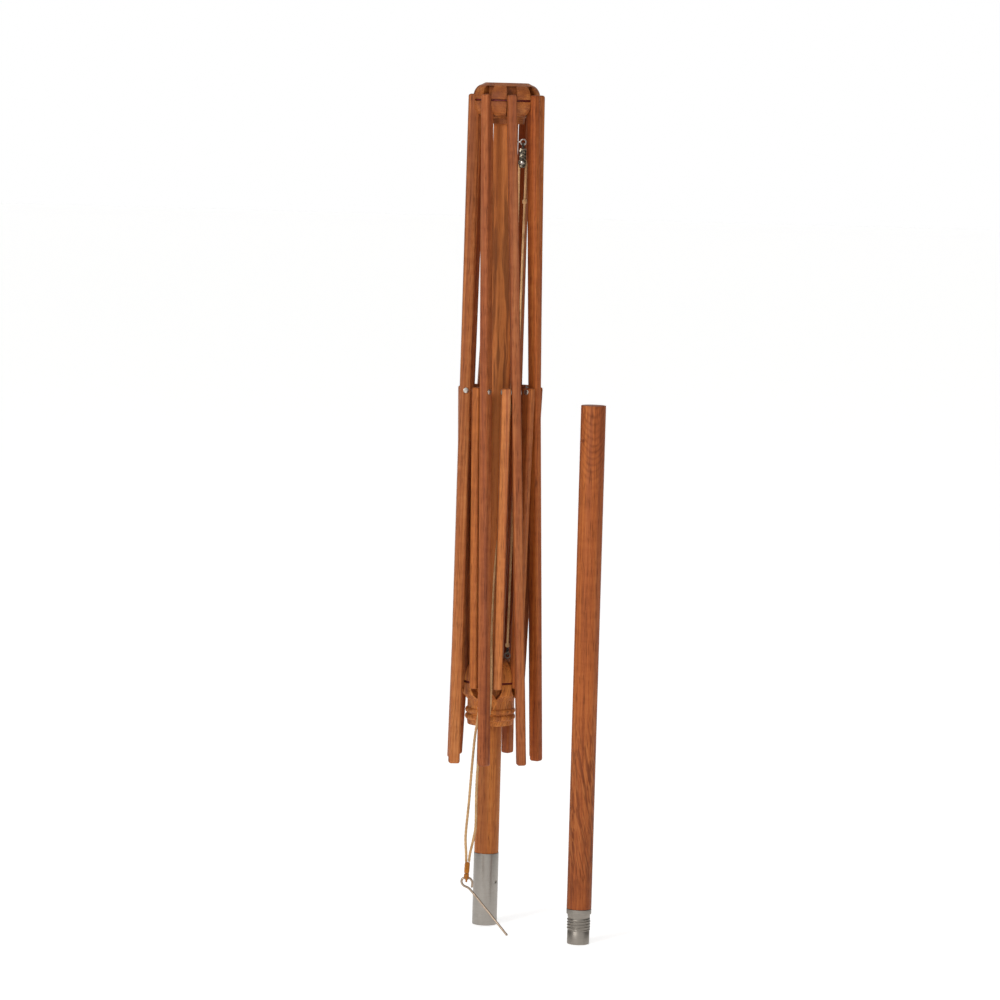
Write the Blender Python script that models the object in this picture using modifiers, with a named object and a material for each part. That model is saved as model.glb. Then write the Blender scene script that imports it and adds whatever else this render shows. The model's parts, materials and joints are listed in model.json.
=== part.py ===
"""A closed wooden parasol frame with its cord tackle, and the lower half of its pole beside it.

The origin is on the upper pole's axis, at the mouth of its ferrule. +Z runs up the pole, +X is to
the right and -Y is to the front. Azimuths start at the front and turn towards +X.
"""

import math

import bmesh
import bpy
from mathutils import Matrix, Vector

# Driving dimensions, in metres.
POLE_R = 0.019
PIVOT_HUB_Z = 1.285
PIVOT_RUNNER_Z = 0.384
PIVOT_HUB_R = 0.0483
PIVOT_RUNNER_R = 0.0413
FIRST_RIB = math.radians(9)
GAP = 0.0003

# Ribs and stretchers.
RIB_THICK = 0.017
RIB_WIDE = 0.0143
RIB_ABOVE = 0.009
RIB_BELOW = 1.026
RIB_OUTWARD = 0.0022
JOINT_DOWN = 0.4466
JOINT_OUT = 0.0069
# How far each rib leans, in degrees: along the circle, and outwards. Play in the joints lets them differ.
RIB_LEANS = (
    (2.3, 0.6), (2.3, 0.6), (1.2, 0.735), (1.2, 0.6),
    (2.3, 0.6), (1.2, 0.15), (2.3, 0.6), (1.95, 0.6),
)
# How far each rib's foot has warped outwards from its straight line.
RIB_BOWS = (0.0, 0.0, 0.013, 0.0175, 0.0, 0.0, 0.0, 0.0)
BOW_CUTS = 14
STRETCHER_WIDE = 0.0136
STRETCHER_SIDE = 0.0152
STRETCHER_ABOVE = 0.006
STRETCHER_BELOW = 0.0085
STRETCHER_FOOT_R = 0.045
STRETCHER_FOOT_Y = 0.0027
SLAT_EDGE = 0.0035
RIVET_R = 0.0022
RIVET_HOLE_R = 0.0025
WASHER_R = 0.005
HUB_HOLE_R = 0.002
FOOT_HOLE_R = 0.0028
WIRE_R = 0.0011
HUB_WIRE_R = 0.0485
RUNNER_WIRE_R = 0.042
SLOT_WIDE = 0.0158

# Ferrule, lower pole and its spigot.
FERRULE_R = 0.0195
FERRULE_BORE_R = 0.0184
FERRULE_TOP = 0.113
TENON_R = 0.0181
TENON_FOOT = 0.055
POLE_TOP = PIVOT_HUB_Z + 0.015
LOCK_HOLE_Z = 0.9375
LOCK_HOLE_R = 0.0035
RIVET_Z = 0.068
RIVET_AZIMUTH = math.radians(56)
LOWER_POLE_AT = (0.1445, -0.140)
LOWER_POLE_TOP = 0.828
SPIGOT_TOP = 0.054
THREAD_FOOT = 0.0205
THREAD_TOP = 0.041
THREAD_PITCH = 0.0044
THREAD_R = 0.0181
THREAD_ROOT_R = 0.0168

# Tackle.
TACKLE_AZIMUTH = math.radians(76)
TACKLE_R = 0.028
EYE_Z = 1.222
RING_R = 0.0042
RING_WIRE_R = 0.0012
SHEAVE_Z = 1.190
SHEAVE_R = 0.0066
SHEAVE_GROOVE_R = 0.0031
SHEAVE_HALF = 0.0025
CHEEK_IN = 0.0029
CHEEK_OUT = 0.0041
CORD_R = 0.0018
BIGHT_R = 0.0052
RUNNER_EYE_R = 0.0252
RUNNER_EYE_Z = 0.4248
RUNNER_LINK_R = 0.005
COLLAR_EYE_AZIMUTH = math.radians(-24)
COLLAR_EYE_Z = 0.346
COLLAR_EYE_R = 0.0416
COLLAR_RING_R = 0.0036
HAUL_CORD_R = 0.0021
PIN_WIRE_R = 0.0018

# Routes, as points chosen along each piece.
HAUL_UPPER_ROUTE = (
    (0.0221, -0.0055, 1.1897), (0.0221, -0.0060, 1.100), (0.0222, -0.0075, 1.000),
    (0.0215, -0.0115, 0.900), (0.0165, -0.0185, 0.780), (0.0085, -0.0235, 0.660),
    (0.0015, -0.0290, 0.560), (-0.0006, -0.0395, 0.475), (-0.0006, -0.0446, 0.440),
)
HAUL_LOWER_ROUTE = (
    (-0.0006, -0.0447, 0.4397), (0.0000, -0.0473, 0.412), (0.0004, -0.0480, 0.385),
    (0.0000, -0.0478, 0.355), (-0.0025, -0.0472, 0.330), (-0.0105, -0.0470, 0.290),
    (-0.0166, -0.0485, 0.256), (-0.0180, -0.0525, 0.213), (-0.0176, -0.0570, 0.165),
    (-0.0205, -0.0600, 0.144), (-0.0252, -0.0635, 0.1208), (-0.0264, -0.0655, 0.1085),
)
LANYARD_ROUTE = (
    (-0.0169, -0.0380, 0.3409), (-0.0184, -0.0390, 0.331), (-0.0226, -0.0404, 0.300),
    (-0.0255, -0.0430, 0.260), (-0.0270, -0.0475, 0.235), (-0.0290, -0.0530, 0.200),
    (-0.0321, -0.0585, 0.160), (-0.0327, -0.0615, 0.142), (-0.0312, -0.0645, 0.121),
    (-0.0309, -0.0658, 0.1085),
)
PIN_ROUTE = (
    (0.0357, -0.1065, 0.0023), (0.0060, -0.0885, 0.0345), (-0.0180, -0.0745, 0.0605),
    (-0.0262, -0.0715, 0.0685), (-0.0339, -0.0710, 0.0722), (-0.0372, -0.0710, 0.0782),
    (-0.0347, -0.0710, 0.0838), (-0.0297, -0.0712, 0.0826), (-0.0247, -0.0714, 0.0838),
    (-0.0209, -0.0716, 0.0792), (-0.0205, -0.0716, 0.0740), (-0.0212, -0.0716, 0.0693),
)
WHIPPING_TOP = Vector((-0.0287, -0.0660, 0.1081))
WHIPPING_FOOT = Vector((-0.0297, -0.0700, 0.0908))
WHIPPING_R = 0.0042
CORD_LOOP_AT = (-0.0297, -0.0712, 0.0838)
CORD_LOOP_R = 0.005
CORD_LOOP_CORD_R = 0.0016

# Segments round a turned or tubular piece.
POLE_SIDES = 32
HOLE_SIDES = 12
WIRE_SIDES = 8
RING_SIDES = 14

# Colour, roughness and metallic value of each material.
FINISHES = {
    "hardwood": ((0.36, 0.13, 0.045, 1.0), 0.5, 0.0),
    "aluminium": ((0.42, 0.40, 0.37, 1.0), 0.4, 1.0),
    "steel": ((0.5, 0.47, 0.42, 1.0), 0.3, 1.0),
    "red_wire": ((0.17, 0.02, 0.02, 1.0), 0.5, 0.3),
    "cord": ((0.48, 0.31, 0.15, 1.0), 0.9, 0.0),
    "whipping": ((0.38, 0.13, 0.03, 1.0), 0.8, 0.0),
}


def clear_scene():
    for obj in list(bpy.data.objects):
        bpy.data.objects.remove(obj, do_unlink=True)


def make_collection(name, hidden=False):
    made = bpy.data.collections.new(name)
    bpy.context.scene.collection.children.link(made)
    made.hide_render = hidden
    return made


def make_finishes():
    made = {}
    for name, (colour, roughness, metallic) in FINISHES.items():
        material = bpy.data.materials.new(name)
        material.use_nodes = True
        shader = material.node_tree.nodes["Principled BSDF"]
        shader.inputs["Base Color"].default_value = colour
        shader.inputs["Roughness"].default_value = roughness
        shader.inputs["Metallic"].default_value = metallic
        made[name] = material
    return made


clear_scene()
PARTS = make_collection("beach_umbrella")
CUTTERS = make_collection("cutters", hidden=True)
MATERIALS = make_finishes()


# Placing and finishing.

def radial(azimuth):
    return Vector((math.sin(azimuth), -math.cos(azimuth), 0.0))


def facing(azimuth):
    """Turns local +X outwards along this azimuth, and local +Y along the circle."""
    return Matrix.Rotation(azimuth - math.pi / 2, 4, "Z")


def mesh_of(bm, name):
    bmesh.ops.recalc_face_normals(bm, faces=bm.faces)
    mesh = bpy.data.meshes.new(name)
    bm.to_mesh(mesh)
    bm.free()
    return mesh


def add_part(name, mesh, finish, place=Matrix()):
    obj = bpy.data.objects.new(name, mesh)
    obj.matrix_world = place
    if not mesh.materials:
        mesh.materials.append(MATERIALS[finish])
    mesh.shade_smooth()
    mesh.set_sharp_from_angle(angle=math.radians(35))
    PARTS.objects.link(obj)
    return obj


def add_cutter(name, mesh, place=Matrix()):
    obj = bpy.data.objects.new(name, mesh)
    obj.matrix_world = place
    obj.display_type = "WIRE"
    obj.hide_render = True
    CUTTERS.objects.link(obj)
    return obj


def combine(obj, other, operation="DIFFERENCE"):
    modifier = obj.modifiers.new(operation.lower(), "BOOLEAN")
    modifier.object = other
    modifier.operation = operation
    modifier.solver = "EXACT"


def frozen_mesh(obj, name):
    """The object's mesh with its modifiers made real. The object is removed."""
    bpy.context.view_layer.update()
    graph = bpy.context.evaluated_depsgraph_get()
    mesh = bpy.data.meshes.new_from_object(obj.evaluated_get(graph))
    mesh.name = name
    bpy.data.objects.remove(obj, do_unlink=True)
    return mesh


# Basic shapes, as bmesh.

def rod(radius, start, end, sides=HOLE_SIDES, bm=None):
    """A cylinder from one point to another."""
    bm = bm or bmesh.new()
    start, end = Vector(start), Vector(end)
    along = end - start
    place = Matrix.Translation((start + end) / 2) @ along.to_track_quat("Z", "Y").to_matrix().to_4x4()
    bmesh.ops.create_cone(
        bm, cap_ends=True, segments=sides, radius1=radius, radius2=radius,
        depth=along.length, matrix=place,
    )
    return bm


def block(low, high, bm=None):
    bm = bm or bmesh.new()
    low, high = Vector(low), Vector(high)
    place = Matrix.Translation((low + high) / 2) @ Matrix.Diagonal((*(high - low), 1.0))
    bmesh.ops.create_cube(bm, size=1.0, matrix=place)
    return bm


def prism(outline, start, end, bm=None):
    """An outline of (y, z) points, drawn out along X from start to end."""
    bm = bm or bmesh.new()
    corners = [bm.verts.new((start, y, z)) for y, z in outline]
    face = bm.faces.new(corners)
    drawn = bmesh.ops.extrude_face_region(bm, geom=[face])["geom"]
    moved = [item for item in drawn if isinstance(item, bmesh.types.BMVert)]
    bmesh.ops.translate(bm, verts=moved, vec=(end - start, 0.0, 0.0))
    return bm


def turned(name, profile, finish, closed, sides=POLE_SIDES, place=Matrix()):
    """A profile of (radius, height) points, top to bottom down its outer side, turned round Z."""
    bm = bmesh.new()
    points = [bm.verts.new((radius, 0.0, height)) for radius, height in profile]
    for start, end in zip(points, points[1:]):
        bm.edges.new((start, end))
    if closed:
        bm.edges.new((points[-1], points[0]))
    mesh = bpy.data.meshes.new(name)
    bm.to_mesh(mesh)
    bm.free()
    obj = bpy.data.objects.new(name, mesh)
    obj.matrix_world = place
    mesh.materials.append(MATERIALS[finish])
    PARTS.objects.link(obj)
    screw = obj.modifiers.new("turned", "SCREW")
    screw.steps = sides
    screw.render_steps = sides
    screw.use_merge_vertices = True
    screw.merge_threshold = 0.00001
    screw.use_smooth_shade = True
    return obj


def ring(name, radius, wire_radius, finish, place, sides=RING_SIDES):
    """A ring of wire round local Z."""
    steps = 6
    turn = 2 * math.pi / steps
    profile = [
        (radius + wire_radius * math.cos(-turn * i), wire_radius * math.sin(-turn * i))
        for i in range(steps)
    ]
    return turned(name, profile, finish, True, sides, place)


def smooth_route(route, spacing):
    """Points at even steps along a Catmull-Rom curve through the route's points."""
    points = [Vector(point) for point in route]
    points = [2 * points[0] - points[1], *points, 2 * points[-1] - points[-2]]
    fine = []
    for before, start, end, after in zip(points, points[1:], points[2:], points[3:]):
        for i in range(40):
            t = i / 40
            fine.append(
                0.5 * (2 * start + (end - before) * t
                       + (2 * before - 5 * start + 4 * end - after) * t * t
                       + (3 * start - before - 3 * end + after) * t * t * t)
            )
    fine.append(points[-2])
    length = sum((b - a).length for a, b in zip(fine, fine[1:]))
    count = max(2, round(length / spacing))
    kept = [fine[0]]
    run = 0.0
    for start, end in zip(fine, fine[1:]):
        run += (end - start).length
        if run >= len(kept) * length / count and len(kept) < count:
            kept.append(end)
    return kept + [fine[-1]]


def tube(name, points, radius, finish, place=Matrix()):
    """A cord or a wire along these points, as a curve with filled caps."""
    data = bpy.data.curves.new(name, "CURVE")
    data.dimensions = "3D"
    data.bevel_depth = radius
    data.bevel_resolution = 2
    data.use_fill_caps = True
    spline = data.splines.new("POLY")
    spline.points.add(len(points) - 1)
    for slot, point in zip(spline.points, points):
        slot.co = (*point, 1.0)
    data.materials.append(MATERIALS[finish])
    obj = bpy.data.objects.new(name, data)
    obj.matrix_world = place
    PARTS.objects.link(obj)
    return obj


# Where the linkage's joints stand, in each rib's own plane: X outwards, Y along the circle.

MID_R = PIVOT_HUB_R + JOINT_OUT
MID_Z = PIVOT_HUB_Z - JOINT_DOWN
STRETCHER_DROP = MID_Z - PIVOT_RUNNER_Z


def rib_azimuths():
    return [FIRST_RIB + i * 2 * math.pi / len(RIB_LEANS) for i in range(len(RIB_LEANS))]


def slat(name, wide, low, high, place, bow=0.0):
    """A slat with rounded edges, from local z = low to high. Its foot may bow outwards."""
    bm = block((-RIB_THICK / 2, -wide / 2, low), (RIB_THICK / 2, wide / 2, high))
    bmesh.ops.bevel(
        bm, geom=bm.edges[:], offset=SLAT_EDGE, segments=2, affect="EDGES", profile=0.5,
    )
    if bow:
        for i in range(1, BOW_CUTS):
            geometry = bm.verts[:] + bm.edges[:] + bm.faces[:]
            height = low + (high - low) * i / BOW_CUTS
            bmesh.ops.bisect_plane(bm, geom=geometry, plane_co=(0, 0, height), plane_no=(0, 0, 1))
        for vertex in bm.verts:
            vertex.co.x += bow_at(bow, -vertex.co.z)
    bm.transform(place)
    return add_part(name, mesh_of(bm, name), "hardwood")


def drill(obj, radius, at, half_length):
    """Drills along local Y through a point."""
    x, y, z = at
    bm = rod(radius, (x, y - half_length, z), (x, y + half_length, z))
    combine(obj, add_cutter(obj.name + "_drill", mesh_of(bm, "drill")))


def bow_at(bow, down):
    """How far outwards a warped rib is, at a distance down from its hub pivot."""
    return bow * (max(down, 0.0) / RIB_BELOW) ** 2


def make_rib_mesh(skew, flare, bow, joint):
    turn = Matrix.Rotation(skew, 4, "X") @ Matrix.Rotation(-flare, 4, "Y")
    place = Matrix.Translation((RIB_OUTWARD, 0.0, 0.0)) @ turn
    rib = slat("rib_master", RIB_WIDE, -RIB_BELOW, RIB_ABOVE, place, bow)
    drill(rib, HUB_HOLE_R, (0.0, 0.0, 0.0), RIB_WIDE)
    drill(rib, RIVET_HOLE_R, joint, RIB_WIDE)
    return frozen_mesh(rib, "rib")


def make_stretcher_mesh(flare, bow, joint):
    """It starts beside its rib, and its foot is in the middle of the runner's slot."""
    out = RIB_OUTWARD + JOINT_DOWN * math.tan(flare) + bow_at(bow, JOINT_DOWN) - JOINT_OUT
    tilt = math.atan((MID_R + out - STRETCHER_FOOT_R) / STRETCHER_DROP)
    foot_y = STRETCHER_FOOT_Y - joint.y
    skew = math.atan((foot_y + STRETCHER_SIDE) / STRETCHER_DROP)
    turn = Matrix.Rotation(skew, 4, "X") @ Matrix.Rotation(tilt, 4, "Y")
    place = Matrix.Translation((out, -STRETCHER_SIDE, 0.0)) @ turn
    low = -(STRETCHER_DROP / math.cos(tilt) + STRETCHER_BELOW)
    stretcher = slat("stretcher_master", STRETCHER_WIDE, low, STRETCHER_ABOVE, place)
    drill(stretcher, RIVET_HOLE_R, (0.0, -STRETCHER_SIDE, 0.0), STRETCHER_WIDE)
    drill(stretcher, FOOT_HOLE_R, (PIVOT_RUNNER_R - MID_R, foot_y, -STRETCHER_DROP), STRETCHER_WIDE)
    return frozen_mesh(stretcher, "stretcher")


def make_rivet_mesh():
    """A pin along local Y with a low round head at each end."""
    gap = 0.0004
    right = RIB_WIDE / 2 + gap
    left = -STRETCHER_SIDE - STRETCHER_WIDE / 2 - gap
    head_r, head_high = 0.0043, 0.0011
    profile = [
        (0.0, right + head_high), (head_r * 0.75, right + head_high), (head_r, right + head_high * 0.4),
        (head_r, right), (RIVET_R, right), (RIVET_R, left), (head_r, left),
        (head_r, left - head_high * 0.4), (head_r * 0.75, left - head_high), (0.0, left - head_high),
    ]
    rivet = turned("rivet_master", profile, "steel", False, HOLE_SIDES)
    mesh = frozen_mesh(rivet, "rivet")
    # The profile's height runs along local Y.
    mesh.transform(Matrix.Rotation(-math.pi / 2, 4, "X"))
    return mesh


def make_washer_mesh():
    """A thin ring between the rib's side and the stretcher's."""
    low = -STRETCHER_SIDE + STRETCHER_WIDE / 2 + GAP
    high = low + 0.0005
    profile = [(WASHER_R, high), (WASHER_R, low), (RIVET_HOLE_R, low), (RIVET_HOLE_R, high)]
    washer = turned("washer_master", profile, "steel", True, HOLE_SIDES)
    mesh = frozen_mesh(washer, "washer")
    mesh.transform(Matrix.Rotation(-math.pi / 2, 4, "X"))
    return mesh


def add_ribs():
    rivet, washer = make_rivet_mesh(), make_washer_mesh()
    for number, (azimuth, leans, bow) in enumerate(zip(rib_azimuths(), RIB_LEANS, RIB_BOWS), start=1):
        skew, flare = map(math.radians, leans)
        joint = Vector((JOINT_OUT, JOINT_DOWN * math.tan(skew), -JOINT_DOWN))
        at_hub = radial(azimuth) * PIVOT_HUB_R + Vector((0.0, 0.0, PIVOT_HUB_Z))
        hub_place = Matrix.Translation(at_hub) @ facing(azimuth)
        mid_place = hub_place @ Matrix.Translation(joint)
        add_part(f"rib_{number}", make_rib_mesh(skew, flare, bow, joint), "hardwood", hub_place)
        stretcher = make_stretcher_mesh(flare, bow, joint)
        add_part(f"stretcher_{number}", stretcher, "hardwood", mid_place)
        add_part(f"rivet_{number}", rivet, "steel", mid_place)
        add_part(f"washer_{number}", washer, "steel", mid_place)


# Hub, runner and poles.

def arc(centre_r, centre_z, wide, high, first, last, steps):
    """Points on an ellipse's arc between two angles in degrees, counted from outwards to up."""
    made = []
    for i in range(steps + 1):
        angle = math.radians(first + (last - first) * i / steps)
        made.append((centre_r + wide * math.cos(angle), centre_z + high * math.sin(angle)))
    return made


def lifted(profile, height):
    return [(radius, z + height) for radius, z in profile]


def slots(name, outline, start, end, height):
    """One cutter with a slot for each rib."""
    bm = bmesh.new()
    for azimuth in rib_azimuths():
        one = prism(outline, start, end)
        bmesh.ops.recalc_face_normals(one, faces=one.faces)
        one.transform(Matrix.Translation((0.0, 0.0, height)) @ facing(azimuth))
        piece = bpy.data.meshes.new(name)
        one.to_mesh(piece)
        one.free()
        bm.from_mesh(piece)
    return add_cutter(name, mesh_of(bm, name))


def add_hub():
    bore = POLE_R + GAP
    profile = [(0.0, 0.027), (0.033, 0.027)]
    profile += arc(0.0366, 0.0045, 0.0150, 0.0195, 78, 0, 5)
    profile += [(0.0516, 0.0016), (0.0470, 0.0016), (0.0470, -0.0016), (0.0516, -0.0016)]
    profile += arc(0.0366, -0.006, 0.0150, 0.0185, 0, -78, 4)
    profile += [(0.031, -0.0247), (0.0285, -0.0275), (0.0280, -0.036)]
    profile += [(bore, -0.036), (bore, 0.0153), (0.0, 0.0153)]
    hub = turned("hub", lifted(profile, PIVOT_HUB_Z), "hardwood", False)
    half = SLOT_WIDE / 2
    outline = [(-half, -0.045), (half, -0.045), (half, 0.022), (-half, 0.022)]
    combine(hub, slots("hub_slots", outline, 0.0364, 0.07, PIVOT_HUB_Z))
    ring("hub_wire", HUB_WIRE_R, WIRE_R, "red_wire", Matrix.Translation((0, 0, PIVOT_HUB_Z)), 40)


def add_runner():
    bore = POLE_R + 0.0017
    profile = arc(0.029, 0.0, 0.0156, 0.034, 90, 4, 5)
    profile += [(0.0446, 0.0016), (0.0404, 0.0016), (0.0404, -0.0016), (0.0446, -0.0016)]
    profile += [(0.0446, -0.019), (0.0358, -0.029), (0.0358, -0.041)]
    profile += arc(0.0358, -0.0455, 0.0032, 0.0042, 80, -80, 4)
    profile += arc(0.0358, -0.0555, 0.0034, 0.0045, 80, -80, 4)
    profile += [(0.0358, -0.0615), (0.0350, -0.068), (bore, -0.068), (bore, 0.034)]
    runner = turned("runner", lifted(profile, PIVOT_RUNNER_Z), "hardwood", True)
    half = SLOT_WIDE / 2
    middle = STRETCHER_FOOT_Y
    outline = [
        (middle - half, 0.045), (middle - half, -0.0130), (middle - 0.0002, -0.0245),
        (middle + 0.0014, -0.0245), (middle + half, -0.0130), (middle + half, 0.045),
    ]
    combine(runner, slots("runner_slots", outline, 0.0308, 0.07, PIVOT_RUNNER_Z))
    eye_foot = radial(TACKLE_AZIMUTH) * RUNNER_EYE_R
    bm = rod(0.0017, (*eye_foot.xy, 0.4055), (*eye_foot.xy, 0.43))
    combine(runner, add_cutter("runner_eye_hole", mesh_of(bm, "runner_eye_hole")))
    out = radial(COLLAR_EYE_AZIMUTH)
    up = Vector((0, 0, COLLAR_EYE_Z))
    bm = rod(0.0014, out * 0.0300 + up, out * 0.0380 + up)
    combine(runner, add_cutter("collar_eye_hole", mesh_of(bm, "collar_eye_hole")))
    place = Matrix.Translation((0, 0, PIVOT_RUNNER_Z))
    ring("runner_wire", RUNNER_WIRE_R, WIRE_R, "red_wire", place, 36)


def add_upper_pole():
    profile = [
        (0.0, POLE_TOP), (POLE_R - 0.001, POLE_TOP), (POLE_R, POLE_TOP - 0.001),
        (POLE_R, FERRULE_TOP + GAP), (TENON_R, FERRULE_TOP + GAP), (TENON_R, TENON_FOOT),
        (0.0, TENON_FOOT),
    ]
    pole = turned("upper_pole", profile, "hardwood", False)
    bm = rod(LOCK_HOLE_R, (-0.03, 0.0, LOCK_HOLE_Z), (0.03, 0.0, LOCK_HOLE_Z), 16)
    out = radial(TACKLE_AZIMUTH)
    up = Vector((0, 0, EYE_Z))
    rod(0.0017, out * 0.0135 + up, out * 0.025 + up, bm=bm)
    out = radial(RIVET_AZIMUTH)
    up = Vector((0, 0, RIVET_Z))
    rod(0.0019, out * 0.0115 + up, out * 0.025 + up, bm=bm)
    combine(pole, add_cutter("pole_holes", mesh_of(bm, "pole_holes")))


def add_ferrule():
    profile = [
        (FERRULE_R - 0.0004, FERRULE_TOP), (FERRULE_R, FERRULE_TOP - 0.0004), (FERRULE_R, 0.0006),
        (FERRULE_R - 0.0004, 0.0), (FERRULE_BORE_R, 0.0), (FERRULE_BORE_R, FERRULE_TOP),
    ]
    ferrule = turned("ferrule", profile, "aluminium", True)
    out = radial(RIVET_AZIMUTH)
    up = Vector((0, 0, RIVET_Z))
    bm = rod(0.0025, out * 0.015 + up, out * 0.025 + up)
    combine(ferrule, add_cutter("ferrule_hole", mesh_of(bm, "ferrule_hole")))
    # A countersunk rivet: its head fills the ferrule's hole, and its shank is in the pole.
    profile = [
        (0.0, 0.0193), (0.0015, 0.0195), (0.0021, 0.0192), (0.0021, 0.0185),
        (0.0016, 0.0180), (0.0016, 0.0120), (0.0, 0.0120),
    ]
    place = Matrix.Translation(up) @ facing(RIVET_AZIMUTH) @ Matrix.Rotation(math.pi / 2, 4, "Y")
    turned("ferrule_rivet", profile, "steel", False, HOLE_SIDES, place)


def add_lower_pole():
    place = Matrix.Translation((*LOWER_POLE_AT, 0.0))
    profile = [
        (0.0, LOWER_POLE_TOP), (POLE_R - 0.0012, LOWER_POLE_TOP), (POLE_R, LOWER_POLE_TOP - 0.0012),
        (POLE_R, SPIGOT_TOP + GAP), (0.0, SPIGOT_TOP + GAP),
    ]
    turned("lower_pole", profile, "hardwood", False, place=place)
    profile = [
        (0.0, SPIGOT_TOP), (0.0192, SPIGOT_TOP), (0.0192, 0.0465), (0.0188, 0.046),
        (0.0173, 0.046), (0.0173, THREAD_TOP + 0.0006),
    ]
    turns = round((THREAD_TOP - THREAD_FOOT) / THREAD_PITCH)
    for turn in range(turns):
        top = THREAD_TOP - turn * THREAD_PITCH
        profile += [
            (THREAD_ROOT_R, top), (THREAD_R, top - THREAD_PITCH * 0.3),
            (THREAD_R, top - THREAD_PITCH * 0.55), (THREAD_ROOT_R, top - THREAD_PITCH * 0.85),
        ]
    plain = 0.0171
    foot_chamfer = 0.0008
    profile += [
        (plain, THREAD_TOP - turns * THREAD_PITCH - 0.0004), (plain, foot_chamfer),
        (plain - foot_chamfer, 0.0), (0.0, 0.0),
    ]
    turned("threaded_spigot", profile, "aluminium", False, 24, place)


# Tackle.

def tackle_place(radius, height):
    across = Matrix.Translation((radius, 0.0, height))
    return facing(TACKLE_AZIMUTH) @ across


def eye_ring(name, radius, place, foot, shank_radius=0.0014, sides=RING_SIDES):
    """A ring in its local XZ plane with a straight shank from foot to the ring's wire."""
    upright = place @ Matrix.Rotation(math.pi / 2, 4, "X")
    eye = ring(name, radius, RING_WIRE_R, "steel", upright, sides)
    near = Vector(foot).normalized() * radius
    bm = rod(shank_radius, foot, near, WIRE_SIDES)
    combine(eye, add_cutter(name + "_shank", mesh_of(bm, name), place), "UNION")
    return eye


def add_pulley():
    eye_ring("pulley_eye", RING_R, tackle_place(TACKLE_R, EYE_Z), (0.014 - TACKLE_R, 0.0, 0.0))
    # The block's ring stands across the eye and hangs in it.
    ring_z = EYE_Z - 2 * RING_R + 2 * RING_WIRE_R + GAP
    place = tackle_place(TACKLE_R, ring_z) @ Matrix.Rotation(math.pi / 2, 4, "Y")
    frame = ring("pulley_block", RING_R, RING_WIRE_R, "steel", place)
    under = ring_z - RING_R
    bridge_low = under - 0.0024
    cheek_low = SHEAVE_Z - 0.0075
    half = 0.0055
    bm = block((-half, -CHEEK_OUT, bridge_low), (half, CHEEK_OUT, under - 0.0002))
    combine(frame, add_cutter("block_bridge", mesh_of(bm, "bridge"), tackle_place(TACKLE_R, 0)), "UNION")
    chamfer = 0.0025
    outline = [
        (-half, bridge_low + 0.001), (-half, cheek_low + chamfer), (-half + chamfer, cheek_low),
        (half - chamfer, cheek_low), (half, cheek_low + chamfer), (half, bridge_low + 0.001),
    ]
    for side, (near, far) in {"left": (-CHEEK_OUT, -CHEEK_IN), "right": (CHEEK_IN, CHEEK_OUT)}.items():
        # The outline is drawn in the XZ plane: the prism's X runs along the circle.
        bm = prism(outline, near, far)
        bm.transform(Matrix.Rotation(math.pi / 2, 4, "Z"))
        hole = rod(0.0017, (0, near - 0.001, SHEAVE_Z), (0, far + 0.001, SHEAVE_Z))
        cheek = add_cutter("cheek_" + side, mesh_of(bm, "cheek"), tackle_place(TACKLE_R, 0))
        combine(cheek, add_cutter("cheek_hole_" + side, mesh_of(hole, "hole"), tackle_place(TACKLE_R, 0)))
        combine(frame, cheek, "UNION")
    add_sheave()


def add_sheave():
    place = tackle_place(TACKLE_R, SHEAVE_Z) @ Matrix.Rotation(-math.pi / 2, 4, "X")
    bore = 0.0017
    half = SHEAVE_HALF
    profile = [
        (bore, half), (SHEAVE_R - 0.0003, half), (SHEAVE_R, half - 0.0003),
        (BIGHT_R, half - 0.0004), (BIGHT_R - 0.0011, half - 0.0008), (SHEAVE_GROOVE_R, half - 0.0018),
        (SHEAVE_GROOVE_R, -half + 0.0018), (BIGHT_R - 0.0011, -half + 0.0008),
        (BIGHT_R, -half + 0.0004), (SHEAVE_R, -half + 0.0003), (SHEAVE_R - 0.0003, -half),
        (bore, -half),
    ]
    turned("sheave", profile, "steel", True, 24, place)
    head = 0.003
    out = CHEEK_OUT + GAP
    end = out + 0.0009
    profile = [
        (0.0, end), (head * 0.7, end), (head, end - 0.0004), (head, out), (0.0014, out),
        (0.0014, -out), (head, -out), (head, -end + 0.0004), (head * 0.7, -end), (0.0, -end),
    ]
    turned("sheave_pin", profile, "steel", False, HOLE_SIDES, place)


def add_runner_tackle():
    place = tackle_place(RUNNER_EYE_R, RUNNER_EYE_Z)
    eye_ring("runner_eye", 0.004, place, (0.0, 0.0, 0.4075 - RUNNER_EYE_Z))
    link_z = RUNNER_EYE_Z + 0.004 - 2 * RING_WIRE_R - GAP + RUNNER_LINK_R
    place = tackle_place(RUNNER_EYE_R, link_z) @ Matrix.Rotation(math.pi / 2, 4, "Y")
    ring("runner_link", RUNNER_LINK_R, RING_WIRE_R, "steel", place)
    place = facing(COLLAR_EYE_AZIMUTH) @ Matrix.Translation((COLLAR_EYE_R, 0.0, COLLAR_EYE_Z))
    upright = place @ Matrix.Rotation(math.pi / 2, 4, "X")
    eye = ring("collar_eye", COLLAR_RING_R, 0.0011, "steel", upright, HOLE_SIDES)
    bm = rod(0.0011, (0.0305 - COLLAR_EYE_R, 0, 0), (-COLLAR_RING_R, 0, 0), WIRE_SIDES)
    combine(eye, add_cutter("collar_shank", mesh_of(bm, "shank"), place), "UNION")
    return link_z + RUNNER_LINK_R + RING_WIRE_R + GAP


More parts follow.
